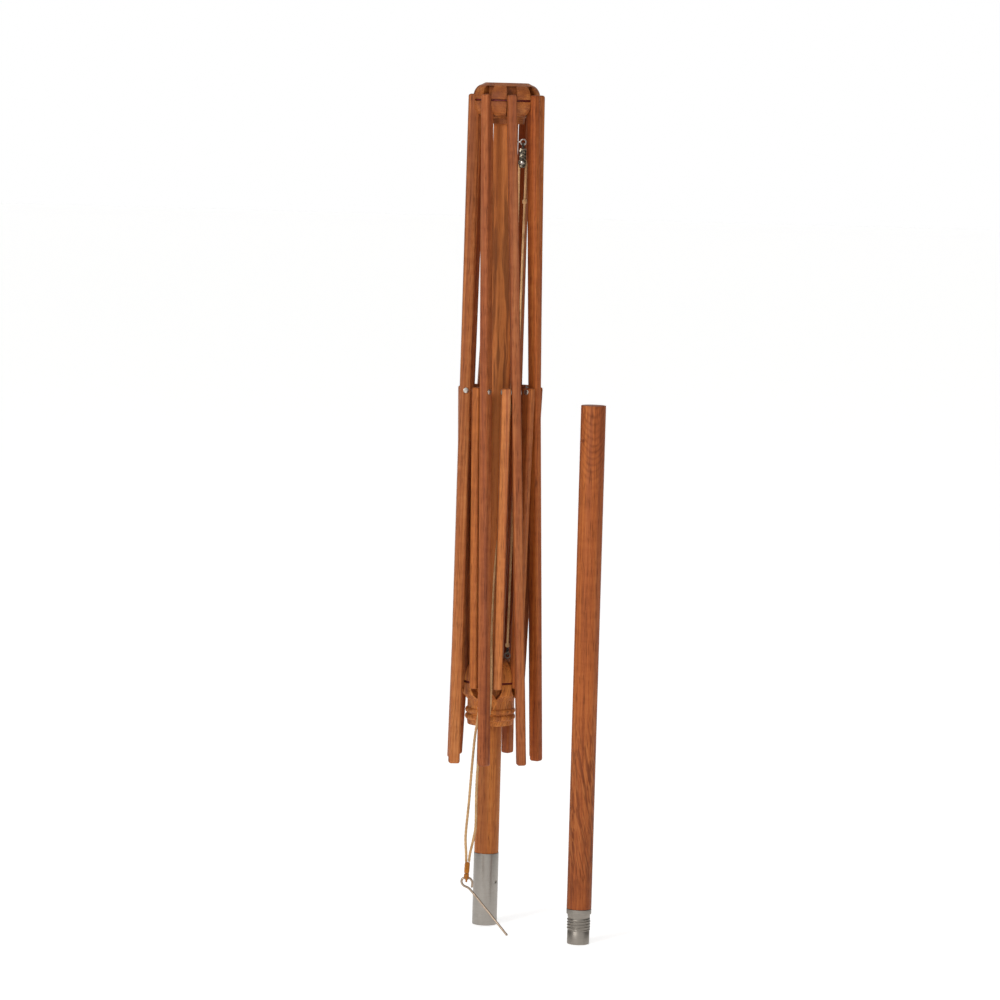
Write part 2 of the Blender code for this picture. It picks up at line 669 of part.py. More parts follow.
def add_cords(link_top):
    to_world = facing(TACKLE_AZIMUTH)
    steps = 10
    over = []
    for i in range(steps + 1):
        angle = math.pi * i / steps
        over.append((TACKLE_R + BIGHT_R * math.cos(angle), 0.0, SHEAVE_Z + BIGHT_R * math.sin(angle)))
    tube("cord_over_sheave", over, CORD_R, "cord", to_world)
    outer = to_world @ Vector((TACKLE_R + BIGHT_R, 0.0, SHEAVE_Z - GAP))
    knot = to_world @ Vector((RUNNER_EYE_R, 0.0, link_top))
    lift = [outer.lerp(knot, i / 12) for i in range(13)]
    tube("lift_cord", lift, CORD_R, "cord")
    tube("haul_cord_upper", smooth_route(HAUL_UPPER_ROUTE, 0.022), CORD_R, "cord")
    tube("haul_cord_lower", smooth_route(HAUL_LOWER_ROUTE, 0.0115), HAUL_CORD_R, "cord")
    tube("lanyard", smooth_route(LANYARD_ROUTE, 0.0115), HAUL_CORD_R, "cord")


def add_locking_pin():
    tube("locking_pin", smooth_route(PIN_ROUTE, 0.0042), PIN_WIRE_R, "steel")
    bm = rod(WHIPPING_R, WHIPPING_FOOT, WHIPPING_TOP)
    bmesh.ops.bevel(bm, geom=[e for e in bm.edges if e.calc_face_angle() > 1.2],
                    offset=0.0008, segments=1, affect="EDGES")
    add_part("cord_whipping", mesh_of(bm, "cord_whipping"), "whipping")
    place = Matrix.Translation(CORD_LOOP_AT) @ Matrix.Rotation(math.pi / 2, 4, "Y")
    ring("cord_loop", CORD_LOOP_R, CORD_LOOP_CORD_R, "cord", place)


add_ribs()
add_hub()
add_runner()
add_upper_pole()
add_ferrule()
add_lower_pole()
add_pulley()
add_cords(add_runner_tackle())
add_locking_pin()
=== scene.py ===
"""The looks of a closed wooden parasol frame and the lower half of its pole.

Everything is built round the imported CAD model, in its frame: metres, +Z up the poles, -Y to the
front, with the origin on the upper pole's axis at the mouth of its ferrule. Azimuths start at the
front and turn towards +X.
"""

import json
import math
import random

import bmesh
import bpy
from mathutils import Matrix, Vector


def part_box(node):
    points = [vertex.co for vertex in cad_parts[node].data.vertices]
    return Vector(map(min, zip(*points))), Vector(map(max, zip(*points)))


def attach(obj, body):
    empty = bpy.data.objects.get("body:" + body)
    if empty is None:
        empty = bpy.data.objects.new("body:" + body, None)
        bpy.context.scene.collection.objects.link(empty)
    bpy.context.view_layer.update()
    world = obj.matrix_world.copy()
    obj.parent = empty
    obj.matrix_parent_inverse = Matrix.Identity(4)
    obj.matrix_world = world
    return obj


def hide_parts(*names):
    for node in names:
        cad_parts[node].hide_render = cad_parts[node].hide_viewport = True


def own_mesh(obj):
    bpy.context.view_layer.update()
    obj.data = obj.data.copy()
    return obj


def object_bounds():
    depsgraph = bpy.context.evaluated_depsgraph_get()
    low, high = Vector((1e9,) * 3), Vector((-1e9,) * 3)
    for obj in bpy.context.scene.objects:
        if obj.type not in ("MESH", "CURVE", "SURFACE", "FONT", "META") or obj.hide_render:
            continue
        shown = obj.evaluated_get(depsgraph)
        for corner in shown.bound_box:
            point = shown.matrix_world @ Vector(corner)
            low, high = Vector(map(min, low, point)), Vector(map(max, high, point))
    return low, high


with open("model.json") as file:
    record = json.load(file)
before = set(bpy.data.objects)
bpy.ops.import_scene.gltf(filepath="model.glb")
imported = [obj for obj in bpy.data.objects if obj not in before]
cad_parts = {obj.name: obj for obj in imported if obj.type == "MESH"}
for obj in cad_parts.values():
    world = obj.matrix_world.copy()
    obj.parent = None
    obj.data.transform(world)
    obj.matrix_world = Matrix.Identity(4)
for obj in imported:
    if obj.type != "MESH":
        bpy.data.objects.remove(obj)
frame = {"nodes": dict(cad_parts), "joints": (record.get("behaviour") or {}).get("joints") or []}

CAD_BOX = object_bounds()
UP = Vector((0.0, 0.0, 1.0))
TURN = 2 * math.pi


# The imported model's joints, as the places to build from.

JOINTS = {joint["name"]: joint for joint in frame["joints"]}
RIBS = range(1, 9)


def anchor(joint):
    return Vector(JOINTS[joint]["pos_m"])


def azimuth_of(point):
    return math.atan2(point.x, -point.y)


def radial(azimuth):
    return Vector((math.sin(azimuth), -math.cos(azimuth), 0.0))


def facing(azimuth):
    """Turns local +X outwards along this azimuth, and local +Y along the circle."""
    return Matrix.Rotation(azimuth - math.pi / 2, 4, "Z")


def at(point):
    return Matrix.Translation(point)


def middle_of(node):
    low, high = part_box(node)
    return (low + high) / 2


# Camera, light and floor.

CAMERA_AT = (0.0, -6.7, 1.2917)
CAMERA_YAW = math.radians(-0.055)
CAMERA_PITCH = math.radians(-5.328)
CAMERA_ROLL = math.radians(1.56)
CAMERA_LENS = 155.93
SENSOR = 36.0


def linked(name, data):
    """A new object in the scene."""
    obj = bpy.data.objects.new(name, data)
    bpy.context.scene.collection.objects.link(obj)
    return obj


def add_camera():
    data = bpy.data.cameras.new("camera")
    data.sensor_width = SENSOR
    data.lens = CAMERA_LENS
    camera = linked("camera", data)
    camera.matrix_world = (
        at(CAMERA_AT)
        @ Matrix.Rotation(CAMERA_YAW, 4, "Z")
        @ Matrix.Rotation(math.pi / 2 + CAMERA_PITCH, 4, "X")
        @ Matrix.Rotation(CAMERA_ROLL, 4, "Z")
    )
    bpy.context.scene.camera = camera


def add_light(name, place, target, size, power):
    data = bpy.data.lights.new(name, "AREA")
    data.shape = "DISK"
    data.size = size
    data.energy = power
    light = linked(name, data)
    light.location = place
    light.rotation_euler = (Vector(target) - Vector(place)).to_track_quat("-Z", "Y").to_euler()


def add_world():
    """A white room. It lights the object less than it shows, so that the key light can model it."""
    world = bpy.data.worlds.new("studio")
    bpy.context.scene.world = world
    world.use_nodes = True
    made = Nodes(world.node_tree)
    direction = made.add("TexCoord", {}).outputs["Generated"]
    sideways = made.math("ABSOLUTE", made.add("SeparateXYZ", {"Vector": direction}).outputs["X"])
    # The room is darker to the left and the right, which shades the edges of round pieces.
    room = made.between(sideways, 0.10, 0.75, 0.88, 0.06, smooth=True)
    seen = made.add("LightPath", {}).outputs["Is Camera Ray"]
    background = made.tree.nodes["Background"]
    made.put(background.inputs["Color"], (1.0, 1.0, 1.0, 1.0))
    made.put(background.inputs["Strength"], made.between(seen, 0.0, 1.0, room, 1.0))


def add_studio():
    bpy.context.scene.view_settings.view_transform = "Standard"
    add_world()
    middle = (0.05, 0.0, 0.65)
    add_light("key", (-3.4, -4.6, 3.0), middle, 2.2, 165.0)
    add_light("fill", (3.6, -3.8, 1.8), middle, 3.0, 25.0)
    bm = bmesh.new()
    bmesh.ops.create_grid(bm, x_segments=1, y_segments=1, size=40.0)
    mesh = bpy.data.meshes.new("floor")
    bm.to_mesh(mesh)
    bm.free()
    floor = linked("floor", mesh)
    floor.location = (0.0, 0.0, CAD_BOX[0].z - 0.0005)
    pale = Finish("pale_floor")
    pale.set("Base Color", (0.88, 0.88, 0.87, 1.0))
    pale.set("Roughness", 0.8)
    pale.set("Emission Color", (1.0, 1.0, 1.0, 1.0))
    pale.set("Emission Strength", 0.55)
    mesh.materials.append(pale.material)


# Materials.

class Nodes:
    """A node tree that is built a node at a time."""

    def __init__(self, tree):
        self.tree = tree

    def put(self, socket, value):
        if isinstance(value, bpy.types.NodeSocket):
            self.tree.links.new(value, socket)
        else:
            socket.default_value = value

    def add(self, kind, inputs, **settings):
        """Adds a node. Its inputs are given by name, or by number where names repeat."""
        node = self.tree.nodes.new("ShaderNode" + kind)
        for name, value in settings.items():
            setattr(node, name, value)
        for name, value in inputs.items():
            self.put(node.inputs[name], value)
        return node

    def place(self):
        return self.add("TexCoord", {}).outputs["Object"]

    def mapped(self, vector, shift=(0, 0, 0), turn=(0, 0, 0), scale=(1, 1, 1)):
        inputs = {"Vector": vector, "Location": shift, "Rotation": turn, "Scale": scale}
        return self.add("Mapping", inputs).outputs["Vector"]

    def noise(self, vector, scale, detail=2.0, roughness=0.5):
        inputs = {"Vector": vector, "Scale": scale, "Detail": detail, "Roughness": roughness}
        return self.add("TexNoise", inputs).outputs["Fac"]

    def stretched(self, vector, scale, detail=2.0, roughness=0.5):
        """Noise with a scale for each axis."""
        return self.noise(self.mapped(vector, scale=scale), 1.0, detail, roughness)

    def math(self, operation, first, second=0.0):
        return self.add("Math", {0: first, 1: second}, operation=operation).outputs["Value"]

    def times(self, first, second):
        return self.math("MULTIPLY", first, second)

    def plus(self, first, second):
        return self.math("ADD", first, second)

    def between(self, value, low, high, first=0.0, last=1.0, smooth=False):
        """Maps the value from low..high to first..last, held at both ends."""
        inputs = {"Value": value, "From Min": low, "From Max": high, "To Min": first, "To Max": last}
        kind = "SMOOTHSTEP" if smooth else "LINEAR"
        return self.add("MapRange", inputs, interpolation_type=kind).outputs["Result"]

    def height(self, vector):
        return self.add("SeparateXYZ", {"Vector": vector}).outputs["Z"]

    def reach(self, vector):
        """How far a vector is from zero."""
        return self.add("VectorMath", {0: vector}, operation="LENGTH").outputs["Value"]

    def ramp(self, factor, *stops):
        node = self.add("ValToRGB", {"Fac": factor})
        elements = node.color_ramp.elements
        while len(elements) < len(stops):
            elements.new(1.0)
        for element, (position, colour) in zip(elements, stops):
            element.position = position
            element.color = colour
        return node.outputs["Color"]

    def mix(self, factor, first, second):
        return self.add("Mix", {0: factor, 6: first, 7: second}, data_type="RGBA").outputs[2]


class Finish(Nodes):
    """A material with one shader."""

    def __init__(self, name):
        self.material = bpy.data.materials.new(name)
        self.material.use_nodes = True
        super().__init__(self.material.node_tree)
        self.shader = self.tree.nodes["Principled BSDF"]

    def set(self, name, value):
        self.put(self.shader.inputs[name], value)

    def bump(self, height, strength, distance):
        inputs = {"Height": height, "Strength": strength, "Distance": distance}
        self.set("Normal", self.add("Bump", inputs).outputs["Normal"])


def colour(red, green, blue, gain=(1.0, 1.0, 1.0)):
    """A screen colour, 0 to 255, in linear light, with each channel times its gain."""
    made = []
    for value, share in zip((red, green, blue), gain):
        value = value / 255
        made.append(share * (value / 12.92 if value <= 0.04045 else ((value + 0.055) / 1.055) ** 2.4))
    return (*made, 1.0)


def scaled(tint, share):
    """The colour with each channel times a share."""
    return tuple(share * channel for channel in tint[:3]) + (1.0,)


WOOD_DARK = (112, 54, 22)
WOOD_MID = (166, 95, 47)
WOOD_LIGHT = (198, 130, 74)
PORE_DARK = (74, 36, 16)
HEART_BAND = (122, 68, 48)
GOLDEN_BAND = (196, 122, 58)


def wood(name, along, seed, gain, ring_spacing=0.0042, heart=0.05, run_out=0.9, contrast=1.0,
         ring_share=0.05, pore_share=0.6, marks=None):
    """Oiled hardwood, with its grain along one direction.

    The heart is how far the middle of the growth rings is from the piece, and run_out is the angle
    in degrees between the rings and the piece. marks adds what only one piece has: it takes the
    finish, the place, the colour and the gain, and returns the new colour.
    """
    made = Finish(name)
    rng = random.Random(seed)
    turn = Vector(along).rotation_difference(UP).to_euler()
    place = made.place()
    grain = made.mapped(place, turn=turn)
    side = rng.uniform(0, TURN)
    lean = math.radians(run_out)
    shift = (heart * math.cos(side), heart * math.sin(side), rng.uniform(0, 9))
    grain = made.mapped(grain, shift=shift, turn=(lean * math.sin(side), lean * math.cos(side), 0))
    slow = made.mapped(grain, scale=(1, 1, 0.05))
    inputs = {
        "Vector": slow, "Scale": TURN / (20 * ring_spacing), "Distortion": 5.0, "Detail": 3.0,
        "Detail Scale": 0.45, "Detail Roughness": 0.6,
    }
    rings = made.add("TexWave", inputs, wave_type="RINGS", rings_direction="Z").outputs["Fac"]
    streaks = made.stretched(grain, (430, 430, 5.5), 4.0, 0.65)
    broad = made.stretched(grain, (62, 62, 2.2), 3.0, 0.6)
    ripple = made.stretched(grain, (34, 34, 95), 3.0, 0.6)
    fine = made.stretched(grain, (1150, 1150, 20), 2.0, 0.6)
    pores = made.stretched(grain, (760, 760, 40), 2.0, 0.6)
    pores = made.between(pores, 0.54, 0.68)

    figure = made.times(rings, ring_share)
    shares = ((streaks, 0.24), (broad, 0.44 - ring_share), (ripple, 0.17), (fine, 0.15))
    for part, share in shares:
        figure = made.plus(figure, made.times(part, share))
    spread = 0.17 / contrast
    tinted = made.ramp(
        figure,
        (0.5 - spread, colour(*WOOD_DARK, gain)),
        (0.5, colour(*WOOD_MID, gain)),
        (0.5 + spread, colour(*WOOD_LIGHT, gain)),
    )
    # Bands of purplish heartwood and of golden wood run the length of the piece.
    bands = made.stretched(grain, (105, 105, 1.1), 2.0, 0.5)
    tinted = made.mix(made.between(bands, 0.52, 0.66, 0.0, 0.42), tinted, colour(*HEART_BAND, gain))
    tinted = made.mix(made.between(bands, 0.46, 0.34, 0.0, 0.30), tinted, colour(*GOLDEN_BAND, gain))
    tinted = made.mix(made.times(pores, pore_share), tinted, colour(*PORE_DARK, gain))
    if marks:
        tinted = marks(made, place, tinted, gain)
    # Cut ends drink more oil and are darker.
    faces = {0: made.add("TexCoord", {}).outputs["Normal"], 1: Vector(along).normalized()}
    along_grain = made.add("VectorMath", faces, operation="DOT_PRODUCT").outputs["Value"]
    end = made.between(made.math("ABSOLUTE", along_grain), 0.75, 0.97, 0.0, 0.45)
    made.set("Base Color", made.mix(end, tinted, colour(*WOOD_DARK, gain)))
    rough = made.plus(made.between(streaks, 0.3, 0.7, 0.46, 0.62), made.times(pores, 0.2))
    made.set("Roughness", rough)
    made.set("Specular IOR Level", 0.2)
    made.bump(made.math("SUBTRACT", made.times(fine, 0.5), pores), 0.3, 0.0002)
    return made.material


def wavy_streaks(made, local, slant, width, low, high, fade, start):
    """Dark streaks along the grain between two heights, as a share from 0 to 1."""
    slanted = made.mapped(local, turn=(0, math.radians(slant), 0))
    wave = made.times(made.stretched(slanted, (0, 0, 16), 1.0), 0.007)
    waved = made.add("VectorMath", {0: slanted, 1: wave}, operation="ADD").outputs["Vector"]
    stretched = made.mapped(waved, scale=(width, width, 5.0))
    inputs = {"Vector": stretched, "Scale": 1.0, "Detail": 3.0, "Roughness": 0.55, "Distortion": 0.3}
    streaks = made.between(made.add("TexNoise", inputs).outputs["Fac"], start, start + 0.10)
    height = made.height(local)
    under = made.between(height, high - fade, high, 1.0, 0.0, smooth=True)
    above = made.between(height, low, low + fade, smooth=True)
    return made.times(streaks, made.times(under, above))


def upper_pole_marks(made, place, tinted, gain):
    """Dark wavy streaks between the front ribs, above the rivets, and painted light that makes the pole paler
    going up, where the ribs shade it.
    """
    streaks = wavy_streaks(made, place, 1.0, 135, 0.78, 1.20, 0.08, 0.49)
    painted_light_tint = colour(*WOOD_LIGHT, (1.18, 0.90, 0.80))
    # Painted light: the pole is painted paler going up, against the shade of the ribs around it.
    tinted = made.mix(made.between(made.height(place), 0.25, 0.60, 0.0, 0.5, smooth=True), tinted, painted_light_tint)
    return made.mix(made.times(streaks, 0.6), tinted, colour(*PORE_DARK, gain))


ARCH_SPACING = 0.0034
KNOT_AT = Vector((-0.0142, -0.0126, 0.7745))


def lower_pole_marks(made, place, tinted, gain):
    """Nested arches under the top, a small knot beside them, and slanting dark streaks near the foot."""
    middle = middle_of("lower_pole")
    local = made.mapped(place, shift=(-middle.x, -middle.y, 0))
    height = made.height(local)
    dark = scaled(colour(*WOOD_DARK, gain), 0.7)
    from_heart = made.reach(made.mapped(local, shift=(0, -0.021, 0), scale=(1, 1, 0)))
    swell = made.between(height, 0.655, 0.88, 0.0, 0.052, smooth=True)
    wobble = made.times(made.stretched(local, (38, 38, 16), 3.0, 0.55), 0.0048)
    ring_at = made.plus(made.plus(from_heart, swell), wobble)
    wave = made.math("SINE", made.times(ring_at, TURN / ARCH_SPACING))
    patchy = made.stretched(local, (60, 60, 30), 2.0)
    arches = made.times(made.between(wave, -0.2, 1.0), made.between(height, 0.66, 0.75, 0.0, 0.42))
    arches = made.times(arches, made.between(patchy, 0.35, 0.60, 0.35, 1.0))
    tinted = made.mix(arches, tinted, dark)
    knot = made.reach(made.mapped(local, shift=-KNOT_AT))
    tinted = made.mix(made.between(knot, 0.0012, 0.0040, 0.75, 0.0, smooth=True), tinted, dark)
    streaks = wavy_streaks(made, local, 13.0, 240, 0.05, 0.37, 0.08, 0.46)
    tinted = made.mix(made.times(streaks, 0.62), tinted, dark)
    elsewhere = made.mapped(local, shift=(0.3, 0, 0))
    golden = wavy_streaks(made, elsewhere, 13.0, 260, 0.05, 0.40, 0.1, 0.52)
    tinted = made.mix(made.times(golden, 0.5), tinted, colour(*WOOD_LIGHT, gain))
    shaded = made.between(height, 0.12, 0.42, 0.22, 0.0, smooth=True)
    return made.mix(shaded, tinted, dark)


def brushed_metal(name, tint, roughness):
    """Metal with fine turning marks across local Z and faint dull patches."""
    made = Finish(name)
    place = made.place()
    lines = made.stretched(place, (90, 90, 2600), 3.0, 0.7)
    patches = made.noise(place, 150.0, 4.0, 0.6)
    shade = made.plus(made.times(lines, 0.7), made.times(patches, 0.3))
    made.set("Base Color", made.ramp(shade, (0.36, scaled(tint, 0.86)), (0.62, tint)))
    made.set("Metallic", 1.0)
    made.set("Roughness", made.between(shade, 0.35, 0.65, roughness + 0.12, roughness - 0.04))
    made.bump(lines, 0.2, 0.00005)
    return made.material


def plain_steel(name, tint, roughness):
    """Plated steel, worn and a little tarnished in spots."""
    made = Finish(name)
    place = made.place()
    wear = made.noise(place, 420.0, 4.0, 0.65)
    spots = made.between(made.noise(place, 900.0, 2.0), 0.60, 0.72)
    bright = made.ramp(wear, (0.35, scaled(tint, 0.7)), (0.6, tint))
    made.set("Base Color", made.mix(made.times(spots, 0.6), bright, scaled(tint, 0.35)))
    made.set("Metallic", 1.0)
    made.set("Roughness", made.between(wear, 0.3, 0.7, roughness + 0.15, roughness))
    made.bump(wear, 0.15, 0.00005)
    return made.material


def blackened_steel():
    """Steel gone dark, with painted highlights in a few bright spots."""
    made = Finish("blackened_steel")
    place = made.place()
    highlight_spots = made.noise(place, 330.0, 4.0, 0.65)
    black, bright = (0.045, 0.036, 0.026, 1.0), (0.55, 0.47, 0.34, 1.0)
    # The bright spots are painted highlights in the colour; the same spots are also smoother and more
    # metallic.
    made.set("Base Color", made.ramp(highlight_spots, (0.50, black), (0.68, bright)))
    made.set("Metallic", made.between(highlight_spots, 0.50, 0.62, 0.6, 1.0))
    made.set("Roughness", made.between(highlight_spots, 0.45, 0.65, 0.5, 0.22))
    made.bump(highlight_spots, 0.2, 0.00005)
    return made.material


def lacquered_wire():
    """Red lacquer, worn dark in places."""
    made = Finish("red_lacquered_wire")
    wear = made.noise(made.place(), 700.0, 4.0, 0.7)
    made.set("Base Color", made.ramp(wear, (0.38, colour(70, 16, 16)), (0.62, colour(138, 30, 34))))
    made.set("Roughness", made.between(wear, 0.3, 0.7, 0.55, 0.35))
    made.bump(wear, 0.2, 0.00005)
    return made.material


def twisted_fibre(name, dark, light, painted_light_above=None):
    """Cord or thread: its strands are in the mesh, and these are the fibres and the grime on them.

    Above the height given, the cord is painted lighter, as painted light where it hangs in the shade of the
    ribs.
    """
    made = Finish(name)
    place = made.place()
    fuzz = made.stretched(place, (2600, 2600, 900), 3.0, 0.7)
    grime = made.noise(place, 55.0, 3.0, 0.6)
    shade = made.plus(made.times(fuzz, 0.6), made.times(grime, 0.4))
    tinted = made.ramp(shade, (0.36, dark), (0.62, light))
    if painted_light_above:
        # Painted light: above this height the cord is painted up to half as light again, against the shade of
        # the ribs.
        low, high = painted_light_above - 0.08, painted_light_above + 0.04
        painted_light_gain = made.between(made.height(place), low, high, 1.0, 1.5, smooth=True)
        lit = made.add("VectorMath", {0: tinted, "Scale": painted_light_gain}, operation="SCALE")
        tinted = lit.outputs["Vector"]
    made.set("Base Color", tinted)
    made.set("Roughness", made.between(fuzz, 0.3, 0.7, 0.95, 0.75))
    made.set("Specular IOR Level", 0.15)
    made.set("Sheen Weight", 0.25)
    made.set("Sheen Roughness", 0.5)
    made.bump(fuzz, 0.5, 0.0002)
    return made.material


ALUMINIUM = brushed_metal("satin_aluminium", (0.35, 0.322, 0.29, 1.0), 0.30)
SPIGOT_METAL = brushed_metal("dull_aluminium", (0.30, 0.27, 0.235, 1.0), 0.42)
BLACKENED = blackened_steel()
STEEL = plain_steel("plated_steel", (0.62, 0.585, 0.53, 1.0), 0.24)
DARK_STEEL = plain_steel("tarnished_steel", (0.30, 0.26, 0.21, 1.0), 0.35)
PIN_STEEL = plain_steel("champagne_steel", (0.42, 0.32, 0.24, 1.0), 0.30)
WIRE = lacquered_wire()
# Cord above 0.36 m is painted lighter, as painted light for the stretches that hang in the ribs' shade.
CORD = twisted_fibre("cord_fibre", colour(146, 108, 68), colour(206, 166, 118), 0.36)
WAXED_THREAD = twisted_fibre("waxed_thread", colour(120, 66, 14), colour(184, 116, 36))


# Mesh building.

def mesh_from(bm, name):
    bmesh.ops.recalc_face_normals(bm, faces=bm.faces)
    mesh = bpy.data.meshes.new(name)
    bm.to_mesh(mesh)
    bm.free()
    return mesh


def add_piece(name, shape, material, slot, body, *nodes, smooth_under=38.0, place=Matrix()):
    """Adds a bmesh or a mesh as a piece that rides on a body and stands for some CAD nodes."""
    mesh = mesh_from(shape, name) if isinstance(shape, bmesh.types.BMesh) else shape
    mesh.transform(place)
    obj = linked(name, mesh)
    mesh.materials.clear()
    mesh.materials.append(material)
    mesh.shade_smooth()
    mesh.set_sharp_from_angle(angle=math.radians(smooth_under))
    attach(obj, body)
    if nodes:
        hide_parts(*nodes)
    return obj


def turned(profile, sides, closed=False, bm=None, place=Matrix()):
    """A profile of (radius, height) points turned round Z. A point on the axis closes the shape.

    A radius is a number, or a function of the angle and the height.
    """
    bm = bm or bmesh.new()
    rows = []
    for radius, height in profile:
        row = []
        for i in range(1 if radius == 0.0 else sides):
            angle = TURN * i / sides
            reach = radius(angle, height) if callable(radius) else radius
            point = Vector((reach * math.cos(angle), reach * math.sin(angle), height))
            row.append(bm.verts.new(place @ point))
        rows.append(row)
    if closed:
        rows.append(rows[0])
    join_rows(bm, rows, sides)
    return bm


def join_rows(bm, rows, sides):
    """Faces between each row of vertices and the next. A row of one vertex is a tip."""
    for upper, lower in zip(rows, rows[1:]):
        for i in range(sides):
            j = (i + 1) % sides
            corners = [
                upper[i % len(upper)], lower[i % len(lower)], lower[j % len(lower)], upper[j % len(upper)],
            ]
            bm.faces.new(list(dict.fromkeys(corners)))


def rounded(profile, reach, steps=3):
    """The profile with each of its marked corners, (radius, height, "round"), rounded off."""
    made = []
    for i, point in enumerate(profile):
        if len(point) == 2:
            made.append(point)
            continue
        corner = Vector(point[:2])
        before = Vector(profile[i - 1][:2])
        after = Vector(profile[(i + 1) % len(profile)][:2])
        start = corner + (before - corner).normalized() * reach
        end = corner + (after - corner).normalized() * reach
        for step in range(steps + 1):
            t = step / steps
            made.append(tuple(start * (1 - t) ** 2 + corner * 2 * t * (1 - t) + end * t * t))
    return made


def smooth_route(route, spacing):
    """Points at even steps along a Catmull-Rom curve through the route's points."""
    points = [Vector(point) for point in route]
    points = [2 * points[0] - points[1], *points, 2 * points[-1] - points[-2]]
    fine = []
    for before, start, end, after in zip(points, points[1:], points[2:], points[3:]):
        for i in range(60):
            t = i / 60
            fine.append(
                0.5 * (2 * start + (end - before) * t
                       + (2 * before - 5 * start + 4 * end - after) * t * t
                       + (3 * start - before - 3 * end + after) * t * t * t)
            )
    fine.append(points[-2])
    return even_steps(fine, spacing)


def length_of(points):
    return sum((end - start).length for start, end in zip(points, points[1:]))


def even_steps(points, spacing):
    """Points at even steps along a line of points, keeping both ends."""
    length = length_of(points)
    count = max(2, round(length / spacing))
    made = [points[0]]
    run = 0.0
    for start, end in zip(points, points[1:]):
        step = (end - start).length
        while len(made) < count and run + step >= len(made) * length / count:
            made.append(start.lerp(end, (len(made) * length / count - run) / step))
        run += step
    return made + [points[-1]]


def swept(points, radius, sides=16, closed=False, bm=None):
    """A tube along the points. radius is a number, or a function of the angle round the tube, the
    distance along it and the whole length."""
    bm = bm or bmesh.new()
    count = len(points)
    length = length_of(points)
    rows = []
    across = None
    run = 0.0
    for i, point in enumerate(points):
        if closed:
            along = (points[(i + 1) % count] - points[i - 1]).normalized()
        else:
            along = (points[min(i + 1, count - 1)] - points[max(i - 1, 0)]).normalized()
        if across is None:
            across = along.orthogonal()
        across = (across - along * across.dot(along)).normalized()
        third = along.cross(across)
        if i:
            run += (point - points[i - 1]).length
        row = []
        for k in range(sides):
            angle = TURN * k / sides
            reach = radius(angle, run, length) if callable(radius) else radius
            out = across * reach * math.cos(angle) + third * reach * math.sin(angle)
            row.append(bm.verts.new(point + out))
        rows.append(row)
    if closed:
        rows.append(rows[0])
    join_rows(bm, rows, sides)
    if not closed:
        bm.faces.new(rows[0])
        bm.faces.new(list(reversed(rows[-1])))
    return bm


def circle(radius, place, steps=40, first=0.0, last=TURN):
    """Points round a circle in the place's XZ plane. A whole turn leaves out its last point."""
    whole = abs(last - first - TURN) < 1e-6
    count = steps if whole else steps + 1
    return [
        place @ Vector((radius * math.cos(a), 0.0, radius * math.sin(a)))
        for a in (first + (last - first) * i / steps for i in range(count))
    ]


def rod(radius, start, end, sides=24, bm=None):
    return swept([Vector(start), Vector(end)], radius, sides, bm=bm)


def rounded_box(low, high, reach, segments, bm=None):
    low, high = Vector(low), Vector(high)
    one = bmesh.new()
    place = at((low + high) / 2) @ Matrix.Diagonal((*(high - low), 1.0))
    bmesh.ops.create_cube(one, size=1.0, matrix=place)
    bmesh.ops.bevel(one, geom=one.edges[:], offset=reach, segments=segments, affect="EDGES", profile=0.5)
    return join_into(bm, one)


def join_into(bm, other):
    """Adds the other bmesh to bm, or returns the other one if there is no bm yet."""
    if bm is None:
        return other
    mesh = bpy.data.meshes.new("joined")
    other.to_mesh(mesh)
    other.free()
    bm.from_mesh(mesh)
    bpy.data.meshes.remove(mesh)
    return bm


def cut(bm, *cutters):
    """The bmesh with each cutter taken away from it, as a mesh."""
    obj = linked("being_cut", mesh_from(bm, "being_cut"))
    tools = []
    for cutter in cutters:
        tool = linked("cutter", mesh_from(cutter, "cutter"))
        modifier = obj.modifiers.new("cut", "BOOLEAN")
        modifier.object = tool
        modifier.solver = "EXACT"
        tools.append(tool)
    bpy.context.view_layer.update()
    graph = bpy.context.evaluated_depsgraph_get()
    made = bpy.data.meshes.new_from_object(obj.evaluated_get(graph))
    for item in (obj, *tools):
        bpy.data.objects.remove(item, do_unlink=True)
    return made


def points_of(node, place=Matrix()):
    """The CAD node's points, as the place sees them."""
    return [place.inverted() @ vertex.co for vertex in frame["nodes"][node].data.vertices]


def corners_of(points):
    """The low and the high corner of the box round some points."""
    return Vector(map(min, zip(*points))), Vector(map(max, zip(*points)))


# The free cords: the haul line's tail and the pin's lanyard, tied together above the pin.

CORD_DIAMETER = 0.0042
UPPER_CORD_DIAMETER = 0.0036
HAUL_ROUTE = (
    (-0.0006, -0.0447, 0.4397), (0.0000, -0.0473, 0.412), (0.0004, -0.0480, 0.385),
    (0.0000, -0.0478, 0.355), (-0.0025, -0.0472, 0.330), (-0.0105, -0.0470, 0.290),
    (-0.0166, -0.0485, 0.256), (-0.0180, -0.0525, 0.213), (-0.0176, -0.0570, 0.165),
    (-0.0205, -0.0600, 0.144), (-0.0252, -0.0635, 0.1208), (-0.0264, -0.0655, 0.1085),
)
LANYARD_ROUTE = (
    (-0.0169, -0.0380, 0.3409), (-0.0184, -0.0390, 0.331), (-0.0226, -0.0404, 0.300),
    (-0.0255, -0.0430, 0.260), (-0.0270, -0.0475, 0.235), (-0.0290, -0.0530, 0.200),
    (-0.0321, -0.0585, 0.160), (-0.0327, -0.0615, 0.142), (-0.0312, -0.0645, 0.121),
    (-0.0309, -0.0658, 0.1085),
)
HAUL_UPPER_ROUTE = (
    (0.0221, -0.0055, 1.1897), (0.0221, -0.0060, 1.100), (0.0222, -0.0075, 1.000),
    (0.0215, -0.0115, 0.900), (0.0165, -0.0185, 0.780), (0.0085, -0.0235, 0.660),
    (0.0015, -0.0290, 0.560), (-0.0006, -0.0395, 0.475), (-0.0006, -0.0446, 0.440),
)
